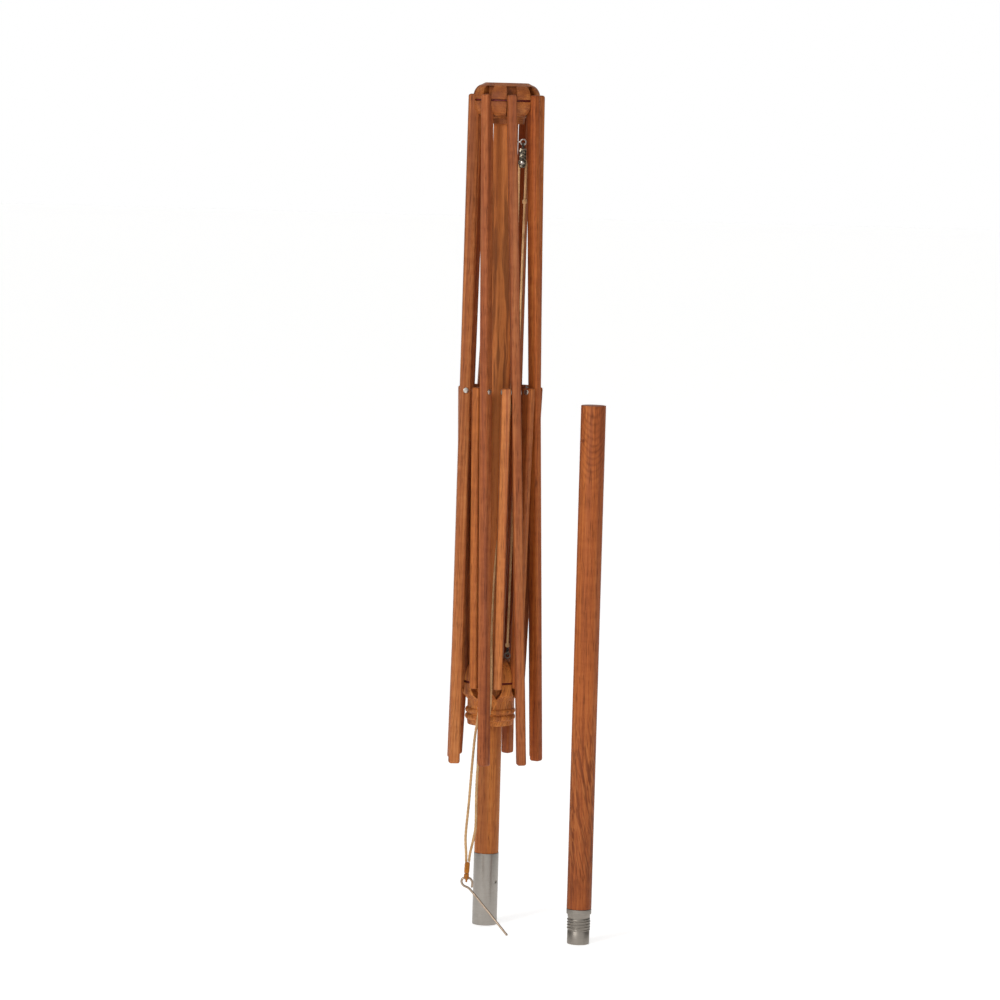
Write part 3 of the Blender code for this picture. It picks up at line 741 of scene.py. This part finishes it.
PIN_ROUTE = (
    (0.0357, -0.1065, 0.0023), (0.0060, -0.0885, 0.0345), (-0.0180, -0.0745, 0.0605),
    (-0.0262, -0.0715, 0.0685), (-0.0339, -0.0710, 0.0722), (-0.0372, -0.0710, 0.0782),
    (-0.0347, -0.0710, 0.0838), (-0.0297, -0.0712, 0.0826), (-0.0247, -0.0714, 0.0838),
    (-0.0209, -0.0716, 0.0792), (-0.0205, -0.0716, 0.0740), (-0.0212, -0.0716, 0.0693),
)
PIN_WIRE_R = 0.0018
WHIPPING_TOP = Vector((-0.0287, -0.0660, 0.1081))
WHIPPING_FOOT = Vector((-0.0297, -0.0700, 0.0908))
WHIPPING_R = 0.0042
LOOP_AT = Vector((-0.0297, -0.0712, 0.0838))
LOOP_R = 0.005
LOOP_CORD_R = 0.0016
LOOP_KNOT = 0.0034
BRAID_PITCH = 0.0062
BRAID_STRANDS = 4
BRAID_DEPTH = 0.13


def braid(radius):
    """The outline of a braided cord: strands that wind both ways and cross."""
    def reach(angle, run, length):
        turn = TURN * run / BRAID_PITCH
        one = math.cos(BRAID_STRANDS * angle + turn)
        other = math.cos(BRAID_STRANDS * angle - turn)
        return radius * (1 - BRAID_DEPTH * (0.5 - 0.5 * max(one, other)))
    return reach


def add_free_cord(name, route, node, with_pieces):
    points = smooth_route(route, 0.0009)
    bm = swept(points, braid(CORD_DIAMETER / 2), 20)
    cord = add_piece(name, bm, CORD, "cord", "runner", node, smooth_under=80)


def add_whipping():
    """Waxed thread wound round the two cords' ends."""
    turns = 13
    length = (WHIPPING_TOP - WHIPPING_FOOT).length

    def wound(angle, run, whole):
        phase = turns * TURN * run / length + angle
        taper = min(1.0, 0.86 + 40 * min(run, whole - run))
        return WHIPPING_R * taper * (0.93 + 0.07 * abs(math.sin(phase / 2)))

    points = [WHIPPING_FOOT.lerp(WHIPPING_TOP, i / 110) for i in range(111)]
    bm = swept(points, wound, 28)
    names = "whipping", "runner", "cord_whipping"
    return add_piece("whipping_thread", bm, WAXED_THREAD, *names, smooth_under=80)


def add_loop():
    """The bight of cord that holds the pin's eye, with a small knot above it."""
    place = at(LOOP_AT) @ Matrix.Rotation(math.pi / 2, 4, "Z")
    ring = circle(LOOP_R, place, 90)
    bm = swept(ring, braid(LOOP_CORD_R), 16, closed=True)
    knot_ball(bm, LOOP_AT + UP * LOOP_KNOT, LOOP_KNOT, 5)
    return add_piece("pin_loop", bm, WAXED_THREAD, "cord", "runner", "cord_loop", smooth_under=80)


def add_pin():
    points = smooth_route(PIN_ROUTE, 0.0016)

    def wire(angle, run, length):
        """Rounds off both ends of the wire."""
        inside = min(run, length - run) / PIN_WIRE_R
        return PIN_WIRE_R * (0.55 + 0.45 * math.sqrt(min(1.0, inside)))

    # The rounding needs steps close together at both ends.
    fine = 6
    tip = [points[0].lerp(points[1], i / fine) for i in range(fine)]
    tail = [points[-2].lerp(points[-1], i / fine) for i in range(1, fine + 1)]
    bm = swept(tip + points[1:-1] + tail, wire, 20)
    add_piece("pin_wire", bm, PIN_STEEL, "steel", "runner", "locking_pin", smooth_under=60)


def add_free_cords():
    add_pin()
    add_free_cord("haul_line_tail", HAUL_ROUTE, "haul_cord_lower", [add_whipping(), add_loop()])
    add_free_cord("pin_lanyard", LANYARD_ROUTE, "lanyard", [])


# The cords from the block down to the runner.

BECKET_Z = 1.131


def add_shortening_cord(name, points, node, extra=None):
    """A cord from the block down to what moves with the runner."""
    bm = swept(points, braid(UPPER_CORD_DIAMETER / 2), 16)
    if extra:
        extra(bm, points)
    cord = add_piece(name, bm, CORD, "cord", "root", node, smooth_under=80)
    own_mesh(cord)


def knot_ball(bm, centre, size, seed):
    """A small overhand knot: three turns of the cord that lie over each other."""
    rng = random.Random(seed)
    for i in range(3):
        turn = Matrix.Rotation(rng.uniform(-0.5, 0.5) + i * 1.05, 4, "Z")
        tilt = Matrix.Rotation(0.5 - 0.35 * i, 4, "X") @ Matrix.Rotation(math.pi / 2, 4, "X")
        place = at(centre + UP * size * 0.55 * (i - 1)) @ turn @ tilt
        swept(circle(size * 0.75, place, 28), size * 0.48, 12, closed=True, bm=bm)


def lift_cord_knots(bm, points):
    """A becket knot a little below the block, and the knot on the runner's link."""
    becket = next(point for point in points if point.z < BECKET_Z)
    knot_ball(bm, becket, 0.0030, 3)
    knot_ball(bm, points[-1] + UP * 0.0035, 0.0026, 5)


def add_lift_cords():
    low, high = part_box("lift_cord")
    half = UPPER_CORD_DIAMETER / 2
    # The cord is straight: it leans from the runner's link out to the sheave's outer side.
    out = radial(azimuth_of(anchor("sheave_spin")))
    top_r = out.dot(Vector((high.x, low.y, 0))) - half
    foot_r = out.dot(Vector((low.x, high.y, 0))) + half
    top, foot = out * top_r + UP * high.z, out * foot_r + UP * low.z
    add_shortening_cord("lift_line", even_steps([top, foot], 0.0012), "lift_cord", lift_cord_knots)
    add_shortening_cord("haul_line_upper", smooth_route(HAUL_UPPER_ROUTE, 0.0012), "haul_cord_upper")


# Wooden pieces.

SLAT_EDGE = 0.0035
PIVOT_HOLE_R = 0.0020
RIVET_HOLE_R = 0.0025
FOOT_HOLE_R = 0.0028
POLE_R = 0.019
RIB_THICK = 0.017
RIB_WIDE = 0.0143
RIB_ABOVE = 0.009
RIB_BELOW = 1.026
RIB_OUTWARD = 0.0022
# How far each rib leans, in degrees, along the circle and outwards, and how far its foot has warped.
RIB_LEANS = (
    (2.3, 0.6), (2.3, 0.6), (1.2, 0.735), (1.2, 0.6),
    (2.3, 0.6), (1.2, 0.15), (2.3, 0.6), (1.95, 0.6),
)
RIB_BOWS = (0.0, 0.0, 0.013, 0.0175, 0.0, 0.0, 0.0, 0.0)
BOW_CUTS = 28
TUBULAR_RIVET = 7
# How light each slat's wood is, in red, green and blue.
RIB_GAINS = (
    (0.78, 0.70, 0.78), (0.92, 0.72, 0.52), (0.90, 0.77, 0.66), (0.95, 0.82, 0.70),
    (0.88, 0.76, 0.66), (0.95, 0.84, 0.74), (0.94, 0.93, 0.98), (0.84, 0.74, 0.82),
)
STRETCHER_GAINS = (
    (1.18, 1.20, 1.36), (0.95, 0.80, 0.70), (0.92, 0.78, 0.66), (0.95, 0.82, 0.70),
    (0.86, 0.74, 0.64), (0.85, 0.76, 0.68), (0.90, 0.88, 0.84), (1.05, 0.98, 0.92),
)


def extremes(points, along, reach):
    """The middles of the end faces of a slat, the lower one first."""
    heights = [point.dot(along) for point in points]
    made = []
    for limit, side in ((min(heights), 1), (max(heights), -1)):
        near = [point for point, height in zip(points, heights) if (height - limit) * side < reach]
        low, high = corners_of(near)
        made.append((low + high) / 2)
    return made


def slat_place(node, across):
    """The slat's place, with local X outwards, Y across and Z along it, and its half sizes."""
    points = points_of(node)
    along = UP
    for reach in (0.004, 0.0005, 0.0003):
        foot, top = extremes(points, along, reach)
        along = (top - foot).normalized()
    across = (across - along * across.dot(along)).normalized()
    out = across.cross(along)
    turn = Matrix((out, across, along)).transposed()
    low, high = corners_of([turn.inverted() @ point for point in points])
    place = at(turn @ ((low + high) / 2)) @ turn.to_4x4()
    return place, (high - low) / 2


def rib_place(k, hub_pivot, azimuth):
    """The rib's place, with local X outwards, Y across and Z along it, and its own low and high corner."""
    skew, flare = map(math.radians, RIB_LEANS[k - 1])
    turn = Matrix.Rotation(skew, 4, "X") @ Matrix.Rotation(-flare, 4, "Y")
    half = Vector((RIB_THICK / 2, RIB_WIDE / 2, 0.0))
    place = at(hub_pivot) @ facing(azimuth) @ at((RIB_OUTWARD, 0, 0)) @ turn
    return place, -half - UP * RIB_BELOW, half + UP * RIB_ABOVE


def bend(bm, low, high, bow):
    """Bows the slat's foot outwards from its hub pivot down."""
    for i in range(1, BOW_CUTS):
        geometry = bm.verts[:] + bm.edges[:] + bm.faces[:]
        height = low.z + (high.z - low.z) * i / BOW_CUTS
        bmesh.ops.bisect_plane(bm, geom=geometry, plane_co=(0, 0, height), plane_no=(0, 0, 1))
    for vertex in bm.verts:
        vertex.co.x += bow * (max(-vertex.co.z, 0.0) / RIB_BELOW) ** 2


def add_slat(name, place, low, high, bow, across, holes, seed, gain):
    bm = rounded_box(low, high, SLAT_EDGE, 5)
    if bow:
        bend(bm, low, high, bow)
    bm.transform(place)
    drills = [rod(radius, point - across * 0.02, point + across * 0.02) for point, radius in holes]
    material = wood(f"{name}_teak", place.to_3x3() @ UP, seed, gain)
    add_piece(f"{name}_wood", cut(bm, *drills), material, "hardwood", name, name, smooth_under=45)


def add_ribs_and_stretchers():
    foot_pivot = anchor("runner_fold")
    foot_r = foot_pivot.xy.length
    for k in RIBS:
        hub_pivot, rivet = anchor(f"rib_{k}_fold"), anchor(f"stretcher_{k}_fold")
        azimuth = azimuth_of(hub_pivot)
        across = facing(azimuth).to_3x3() @ Vector((0, 1, 0))
        add_slat(
            f"rib_{k}", *rib_place(k, hub_pivot, azimuth), RIB_BOWS[k - 1], across,
            [(hub_pivot, PIVOT_HOLE_R), (rivet, RIVET_HOLE_R)], 10 + k, RIB_GAINS[k - 1],
        )
        foot = radial(azimuth) * foot_r + UP * foot_pivot.z
        place, half = slat_place(f"stretcher_{k}", across)
        add_slat(
            f"stretcher_{k}", place, -half, half, 0.0, across,
            [(rivet, RIVET_HOLE_R), (foot, FOOT_HOLE_R)], 30 + k, STRETCHER_GAINS[k - 1],
        )
        place = at(rivet) @ facing(azimuth) @ Matrix.Rotation(-math.pi / 2, 4, "X")
        add_rivet(k, place)
        add_washer(k, place)


def add_rivet(k, place):
    """The rivet at the rib's and the stretcher's joint. Its place has local Z along it."""
    low, high = (corner.z for corner in corners_of(points_of(f"rivet_{k}", place)))
    head_r, head_high, shank_r = 0.0043, 0.0011, 0.0022
    dish = [(head_r * math.cos(a), head_high * math.sin(a)) for a in (0.1 * i for i in range(16))]
    right = [(r, high - head_high + h) for r, h in dish]
    left = [(r, low + head_high - h) for r, h in dish]
    shank = [(shank_r, high - head_high), (shank_r, low + head_high)]
    end = [(0.0, low)]
    if k == TUBULAR_RIVET:
        # It is rolled over at its open end.
        bore = 0.0013
        left = left[:11]
        end = [(bore, low + 0.0001), (bore * 0.96, low + 0.0012), (0.0, low + 0.0014)]
    outline = [(0.0, high)] + right[::-1] + shank + left + end
    bm = turned(outline, 28)
    add_piece(f"rivet_{k}_steel", bm, STEEL, "steel", f"rib_{k}", f"rivet_{k}", place=place)


def add_washer(k, place):
    """The washer between the rib and its stretcher."""
    points = points_of(f"washer_{k}", place)
    low, high = (corner.z for corner in corners_of(points))
    outer = max(point.xy.length for point in points)
    profile = [(outer, high, "round"), (outer, low, "round"), (RIVET_HOLE_R, low), (RIVET_HOLE_R, high)]
    bm = turned(rounded(profile, 0.00012, 2), 32, closed=True)
    add_piece(f"washer_{k}_steel", bm, STEEL, "steel", f"rib_{k}", f"washer_{k}", place=place)


def arc(centre_r, centre_z, wide, high, first, last, steps):
    """Points on an ellipse's arc between two angles in degrees, counted from outwards to up."""
    made = []
    for i in range(steps + 1):
        angle = math.radians(first + (last - first) * i / steps)
        made.append((centre_r + wide * math.cos(angle), centre_z + high * math.sin(angle)))
    return made


def lifted(profile, height):
    return [(point[0], point[1] + height, *point[2:]) for point in profile]


def slot_cutters(outline, start, end, height):
    """One cutter for each rib's slot: an outline of (y, z) points drawn out along the radius."""
    made = []
    for k in RIBS:
        place = at((0, 0, height)) @ facing(azimuth_of(anchor(f"rib_{k}_fold")))
        bm = bmesh.new()
        near = [bm.verts.new(place @ Vector((start, y, z))) for y, z in outline]
        far = [bm.verts.new(place @ Vector((end, y, z))) for y, z in outline]
        join_rows(bm, [near, far], len(outline))
        bm.faces.new(near)
        bm.faces.new(far[::-1])
        made.append(bm)
    return made


SLOT_WIDE = 0.0158
HUB_BORE_R = POLE_R + 0.0003
RUNNER_BORE_R = POLE_R + 0.0017
STRETCHER_FOOT_Y = 0.0027


def add_hub():
    height = anchor("rib_1_fold").z
    profile = [(0.0, 0.027), (0.0305, 0.027), (0.033, 0.027, "round")]
    profile += arc(0.0366, 0.0045, 0.0150, 0.0195, 78, 0, 20)
    profile += [(0.0516, 0.0016, "round"), (0.0470, 0.0016), (0.0470, -0.0016), (0.0516, -0.0016, "round")]
    profile += arc(0.0366, -0.006, 0.0150, 0.0185, 0, -78, 16)
    profile += [(0.031, -0.0247), (0.0285, -0.0275), (0.0280, -0.036, "round")]
    profile += [(HUB_BORE_R, -0.036), (HUB_BORE_R, 0.0153), (0.0, 0.0153)]
    bm = turned(lifted(rounded(profile, 0.0006), height), 128)
    half = SLOT_WIDE / 2
    outline = [(-half, -0.045), (half, -0.045), (half, 0.022), (-half, 0.022)]
    mesh = cut(bm, *slot_cutters(outline, 0.0364, 0.07, height))
    grain = radial(math.radians(-18)) + UP * 0.08
    material = wood("hub_teak", grain, 3, (0.86, 0.80, 0.70), ring_spacing=0.0035, heart=0.03, run_out=2.0,
                    ring_share=0.03)
    add_piece("hub_wood", mesh, material, "hardwood", "root", "hub", smooth_under=30)
    add_wire_ring("hub_wire_ring", "hub_wire", "root", height)


def add_wire_ring(name, node, body, height):
    """Soft wire in the groove, drawn as a round ring."""
    low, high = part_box(node)
    wire_r = (high.z - low.z) / 2
    radius = (high.x - low.x) / 2 - wire_r
    points = circle(radius, at((0, 0, height)) @ Matrix.Rotation(math.pi / 2, 4, "X"), 160)
    bm = swept(points, wire_r, 12, closed=True)
    add_piece(name, bm, WIRE, "red_wire", body, node, smooth_under=60)


def add_runner():
    height = anchor("runner_fold").z
    profile = arc(0.029, 0.0, 0.0156, 0.034, 90, 4, 24)
    profile += [(0.0446, 0.0016, "round"), (0.0404, 0.0016), (0.0404, -0.0016), (0.0446, -0.0016, "round")]
    profile += [(0.0446, -0.019, "round"), (0.0358, -0.029, "round"), (0.0358, -0.041)]
    profile += arc(0.0358, -0.0455, 0.0032, 0.0042, 80, -80, 12)
    profile += arc(0.0358, -0.0555, 0.0034, 0.0045, 80, -80, 12)
    profile += [(0.0358, -0.0615), (0.0350, -0.068, "round"), (RUNNER_BORE_R, -0.068, "round")]
    profile += [(RUNNER_BORE_R, 0.034, "round")]
    bm = turned(lifted(rounded(profile, 0.0006), height), 128, closed=True)
    half = SLOT_WIDE / 2
    middle = STRETCHER_FOOT_Y
    outline = [
        (middle - half, 0.045), (middle - half, -0.0130), (middle - 0.0002, -0.0245),
        (middle + 0.0014, -0.0245), (middle + half, -0.0130), (middle + half, 0.045),
    ]
    mesh = cut(bm, *slot_cutters(outline, 0.0308, 0.07, height))
    material = wood("runner_teak", (0.05, 0.1, 1.0), 4, (1.38, 1.42, 1.18), ring_spacing=0.003, heart=0.02,
                    run_out=2.0, pore_share=0.75)
    add_piece("runner_wood", mesh, material, "hardwood", "runner", "runner", smooth_under=30)
    add_wire_ring("runner_wire_ring", "runner_wire", "runner", height)


LOCK_HOLE_Z = 0.9375
LOCK_HOLE_R = 0.0035
TENON_R = 0.0181


def add_upper_pole():
    low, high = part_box("upper_pole")
    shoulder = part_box("ferrule")[1].z + 0.0003
    profile = [
        (0.0, high.z), (POLE_R, high.z, "round"), (POLE_R, shoulder, "round"), (TENON_R, shoulder),
        (TENON_R, low.z), (0.0, low.z),
    ]
    pole = turned(rounded(profile, 0.0007), 96)
    hole = rod(LOCK_HOLE_R, (-0.03, 0, LOCK_HOLE_Z), (0.03, 0, LOCK_HOLE_Z), 32)
    material = wood("upper_pole_teak", UP, 1, (1.05, 1.03, 0.80), ring_spacing=0.005, heart=0.07, run_out=0.5,
                    contrast=0.8, marks=upper_pole_marks)
    add_piece("upper_pole_wood", cut(pole, hole), material, "hardwood", "root", "upper_pole")


def add_lower_pole():
    low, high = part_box("lower_pole")
    middle = middle_of("lower_pole")
    profile = [
        (0.0, high.z), (POLE_R * 0.7, high.z), (POLE_R, high.z, "round"), (POLE_R, low.z, "round"),
        (0.0, low.z),
    ]
    bm = turned(rounded(profile, 0.0012, 5), 96, place=at((middle.x, middle.y, 0)))
    material = wood("lower_pole_teak", UP, 2, (0.90, 0.74, 0.60), ring_spacing=0.0065, run_out=0.6,
                    contrast=0.85, ring_share=0.06, marks=lower_pole_marks)
    add_piece("lower_pole_wood", bm, material, "hardwood", "lower_pole", "lower_pole")


# Metal fittings.

def add_ferrule():
    low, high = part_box("ferrule")
    outer, bore = (high.x - low.x) / 2, 0.0184
    profile = [
        (bore, high.z), (outer, high.z, "round"), (outer, low.z, "round"), (bore, low.z, "round"),
    ]
    bm = turned(rounded(profile, 0.0004), 128, closed=True)
    head = middle_of("ferrule_rivet")
    out = radial(azimuth_of(head))
    height = UP * head.z
    mesh = cut(bm, rod(0.0025, out * 0.015 + height, out * 0.025 + height, 32))
    add_piece("ferrule_tube", mesh, ALUMINIUM, "aluminium", "root", "ferrule", smooth_under=35)
    # A countersunk rivet, a little below the ferrule's face.
    face = outer - 0.0004
    profile = [
        (0.0, face - 0.0006), (0.0007, face - 0.0004), (0.0016, face + 0.0001), (0.0020, face),
        (0.0021, face - 0.0006), (0.0016, face - 0.0012), (0.0016, 0.0120), (0.0, 0.0120),
    ]
    place = at(height) @ facing(azimuth_of(head)) @ Matrix.Rotation(math.pi / 2, 4, "Y")
    bm = turned(profile, 28)
    add_piece("ferrule_rivet_head", bm, DARK_STEEL, "steel", "root", "ferrule_rivet", place=place)


THREAD_FOOT = 0.0205
THREAD_TOP = 0.041
THREAD_PITCH = 0.0044
THREAD_R = 0.0181
THREAD_ROOT_R = 0.0168


def thread_reach(angle, height):
    """The spigot's radius in its thread: a rounded helix that fades out at both ends."""
    turn = (height / THREAD_PITCH - angle / TURN) % 1.0
    crest = 0.5 + 0.5 * math.cos(TURN * turn)
    crest = min(1.0, max(0.0, 1.7 * crest - 0.35))
    fade = min(1.0, (THREAD_TOP - height) / 0.003, (height - THREAD_FOOT) / 0.002)
    return THREAD_ROOT_R + (THREAD_R - THREAD_ROOT_R) * crest * max(0.0, fade)


def add_spigot():
    low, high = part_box("threaded_spigot")
    middle = middle_of("threaded_spigot")
    flange, neck, plain = 0.0192, 0.0173, 0.0171
    upper = [
        (0.0, high.z), (flange, high.z, "round"), (flange, 0.0465, "round"), (neck, 0.0463),
        (neck, THREAD_TOP + 0.0006),
    ]
    lower = [(plain, THREAD_FOOT - 0.0004), (plain, low.z, "round"), (0.0, low.z)]
    steps = 64
    thread = [(thread_reach, THREAD_TOP + (THREAD_FOOT - THREAD_TOP) * i / steps) for i in range(steps + 1)]
    profile = rounded(upper, 0.0004) + thread + rounded(lower, 0.0009, 4)
    bm = turned(profile, 96, place=at((middle.x, middle.y, 0)))
    names = "aluminium", "lower_pole", "threaded_spigot"
    add_piece("spigot_metal", bm, SPIGOT_METAL, *names, smooth_under=40)


# The tackle: screw eyes, block, sheave and link.

EYE_THREAD_PITCH = 0.0011
EYE_THREAD_DEPTH = 0.12
RING_R = 0.0042
RING_WIRE_R = 0.0012
EYE_Z = 1.222
EYE_FOOT_R = 0.014
RING_Z = EYE_Z - 2 * RING_R + 2 * RING_WIRE_R + 0.0003
RUNNER_EYE_R = 0.0252
RUNNER_EYE_Z = 0.4248
RUNNER_EYE_FOOT_Z = 0.4075
COLLAR_EYE_AZIMUTH = math.radians(-24)
COLLAR_EYE_R = 0.0416
COLLAR_EYE_Z = 0.346
COLLAR_EYE_FOOT_R = 0.0305
LINK_R = 0.005
CHEEK_OUT = 0.0041
CHEEK_IN = 0.0029
CHEEK_HALF = 0.0046
CHEEK_BELOW = 0.0075
BIGHT_R = 0.0052
SHEAVE_AT = anchor("sheave_spin")
TACKLE_AZIMUTH = azimuth_of(SHEAVE_AT)
TACKLE_R = SHEAVE_AT.xy.length
SIDEWAYS = Matrix.Rotation(math.pi / 2, 4, "Z")


def tackle_place(reach, height):
    return facing(TACKLE_AZIMUTH) @ at((reach, 0, height))


def axle_place():
    """The sheave's place, with local Z along its pin."""
    return at(SHEAVE_AT) @ facing(TACKLE_AZIMUTH) @ Matrix.Rotation(-math.pi / 2, 4, "X")


def add_screw_eye(name, node, material, body, ring_r, wire_r, place, foot):
    """A wire that comes out threaded from its foot and bends round into an eye, in the place's XZ plane."""
    foot = Vector(foot)
    start = math.atan2(foot.z, foot.x)
    loop = circle(ring_r, Matrix(), 44, start, start + TURN * 0.985)
    straight = [foot.lerp(loop[0], i / 12) for i in range(12)]
    points = [place @ point for point in straight + loop]
    threaded = (foot.length - ring_r) * 0.8

    def wire(angle, run, length):
        if run >= threaded:
            return wire_r
        dip = 0.5 + 0.5 * math.cos(TURN * run / EYE_THREAD_PITCH - angle)
        return wire_r * (1.0 - EYE_THREAD_DEPTH * dip)

    bm = swept(even_steps(points, 0.00035), wire, 14)
    add_piece(name, bm, material, "steel", body, node, smooth_under=60)


def add_block():
    """The block's ring, the bridge under it and its two cheeks."""
    under = RING_Z - RING_R
    points = circle(RING_R, tackle_place(TACKLE_R, RING_Z) @ SIDEWAYS, 48)
    bm = swept(points, RING_WIRE_R, 14, closed=True)
    low = (-CHEEK_HALF, -CHEEK_OUT, under - 0.0024)
    high = (CHEEK_HALF, CHEEK_OUT, under - 0.0002)
    plates = rounded_box(low, high, 0.0005, 3)
    for near, far in ((-CHEEK_OUT, -CHEEK_IN), (CHEEK_IN, CHEEK_OUT)):
        low = (-CHEEK_HALF, near, SHEAVE_AT.z - CHEEK_BELOW)
        high = (CHEEK_HALF, far, under - 0.0014)
        rounded_box(low, high, 0.00045, 3, plates)
    plates.transform(tackle_place(TACKLE_R, 0))
    join_into(bm, plates)
    add_piece("block_frame", bm, BLACKENED, "steel", "block", "pulley_block")


def add_sheave():
    half, rim, groove, bore = 0.0025, 0.0066, 0.0031, 0.0017
    profile = [(bore, half, "round"), (rim, half, "round"), (rim - 0.0004, half - 0.0005)]
    profile += [(groove + 0.0021, half - 0.0005), (groove + 0.0010, half - 0.0008), (groove, half - 0.0018)]
    profile += [(radius, -height) for radius, height in reversed(profile[3:])]
    profile += [(rim - 0.0004, -half + 0.0005), (rim, -half, "round"), (bore, -half, "round")]
    bm = turned(rounded(profile, 0.00025), 48, closed=True)
    add_piece("sheave_wheel", bm, BLACKENED, "steel", "sheave", "sheave", place=axle_place())


def add_sheave_pin():
    out, head_r, head_high, pin_r = CHEEK_OUT + 0.0003, 0.003, 0.0009, 0.0014
    dome = [(head_r * math.cos(a), head_high * math.sin(a)) for a in (0.26 * i for i in range(6))]
    profile = [(0.0, out + head_high)] + [(r, out + h) for r, h in reversed(dome)]
    profile += [(pin_r, out), (pin_r, -out)] + [(r, -out - h) for r, h in dome] + [(0.0, -out - head_high)]
    bm = turned(profile, 28)
    add_piece("sheave_axle", bm, STEEL, "steel", "block", "sheave_pin", place=axle_place())


def add_line_over_sheave():
    points = circle(BIGHT_R, at(SHEAVE_AT) @ facing(TACKLE_AZIMUTH), 36, 0.0, math.pi)
    bm = swept(points, braid(UPPER_CORD_DIAMETER / 2), 16)
    add_piece("line_over_sheave", bm, CORD, "cord", "block", "cord_over_sheave", smooth_under=80)


def add_runner_link():
    place = tackle_place(RUNNER_EYE_R, middle_of("runner_link").z)
    points = circle(LINK_R, place @ SIDEWAYS, 48)
    bm = swept(points, RING_WIRE_R, 14, closed=True)
    add_piece("runner_link_ring", bm, BLACKENED, "steel", "runner", "runner_link", smooth_under=60)


def add_tackle():
    add_screw_eye(
        "pulley_eye_wire", "pulley_eye", STEEL, "root", RING_R, RING_WIRE_R,
        tackle_place(TACKLE_R, EYE_Z), (EYE_FOOT_R - TACKLE_R, 0, 0),
    )
    add_block()
    add_sheave()
    add_sheave_pin()
    add_line_over_sheave()
    add_screw_eye(
        "runner_eye_wire", "runner_eye", DARK_STEEL, "runner", 0.004, RING_WIRE_R,
        tackle_place(RUNNER_EYE_R, RUNNER_EYE_Z), (0, 0, RUNNER_EYE_FOOT_Z - RUNNER_EYE_Z),
    )
    add_runner_link()
    add_screw_eye(
        "collar_eye_wire", "collar_eye", STEEL, "runner", 0.0036, 0.0011,
        facing(COLLAR_EYE_AZIMUTH) @ at((COLLAR_EYE_R, 0, COLLAR_EYE_Z)),
        (COLLAR_EYE_FOOT_R - COLLAR_EYE_R, 0, 0),
    )


add_camera()
add_free_cords()
add_lift_cords()
add_studio()
add_ribs_and_stretchers()
add_hub()
add_runner()
add_upper_pole()
add_lower_pole()
add_ferrule()
add_spigot()
add_tackle()
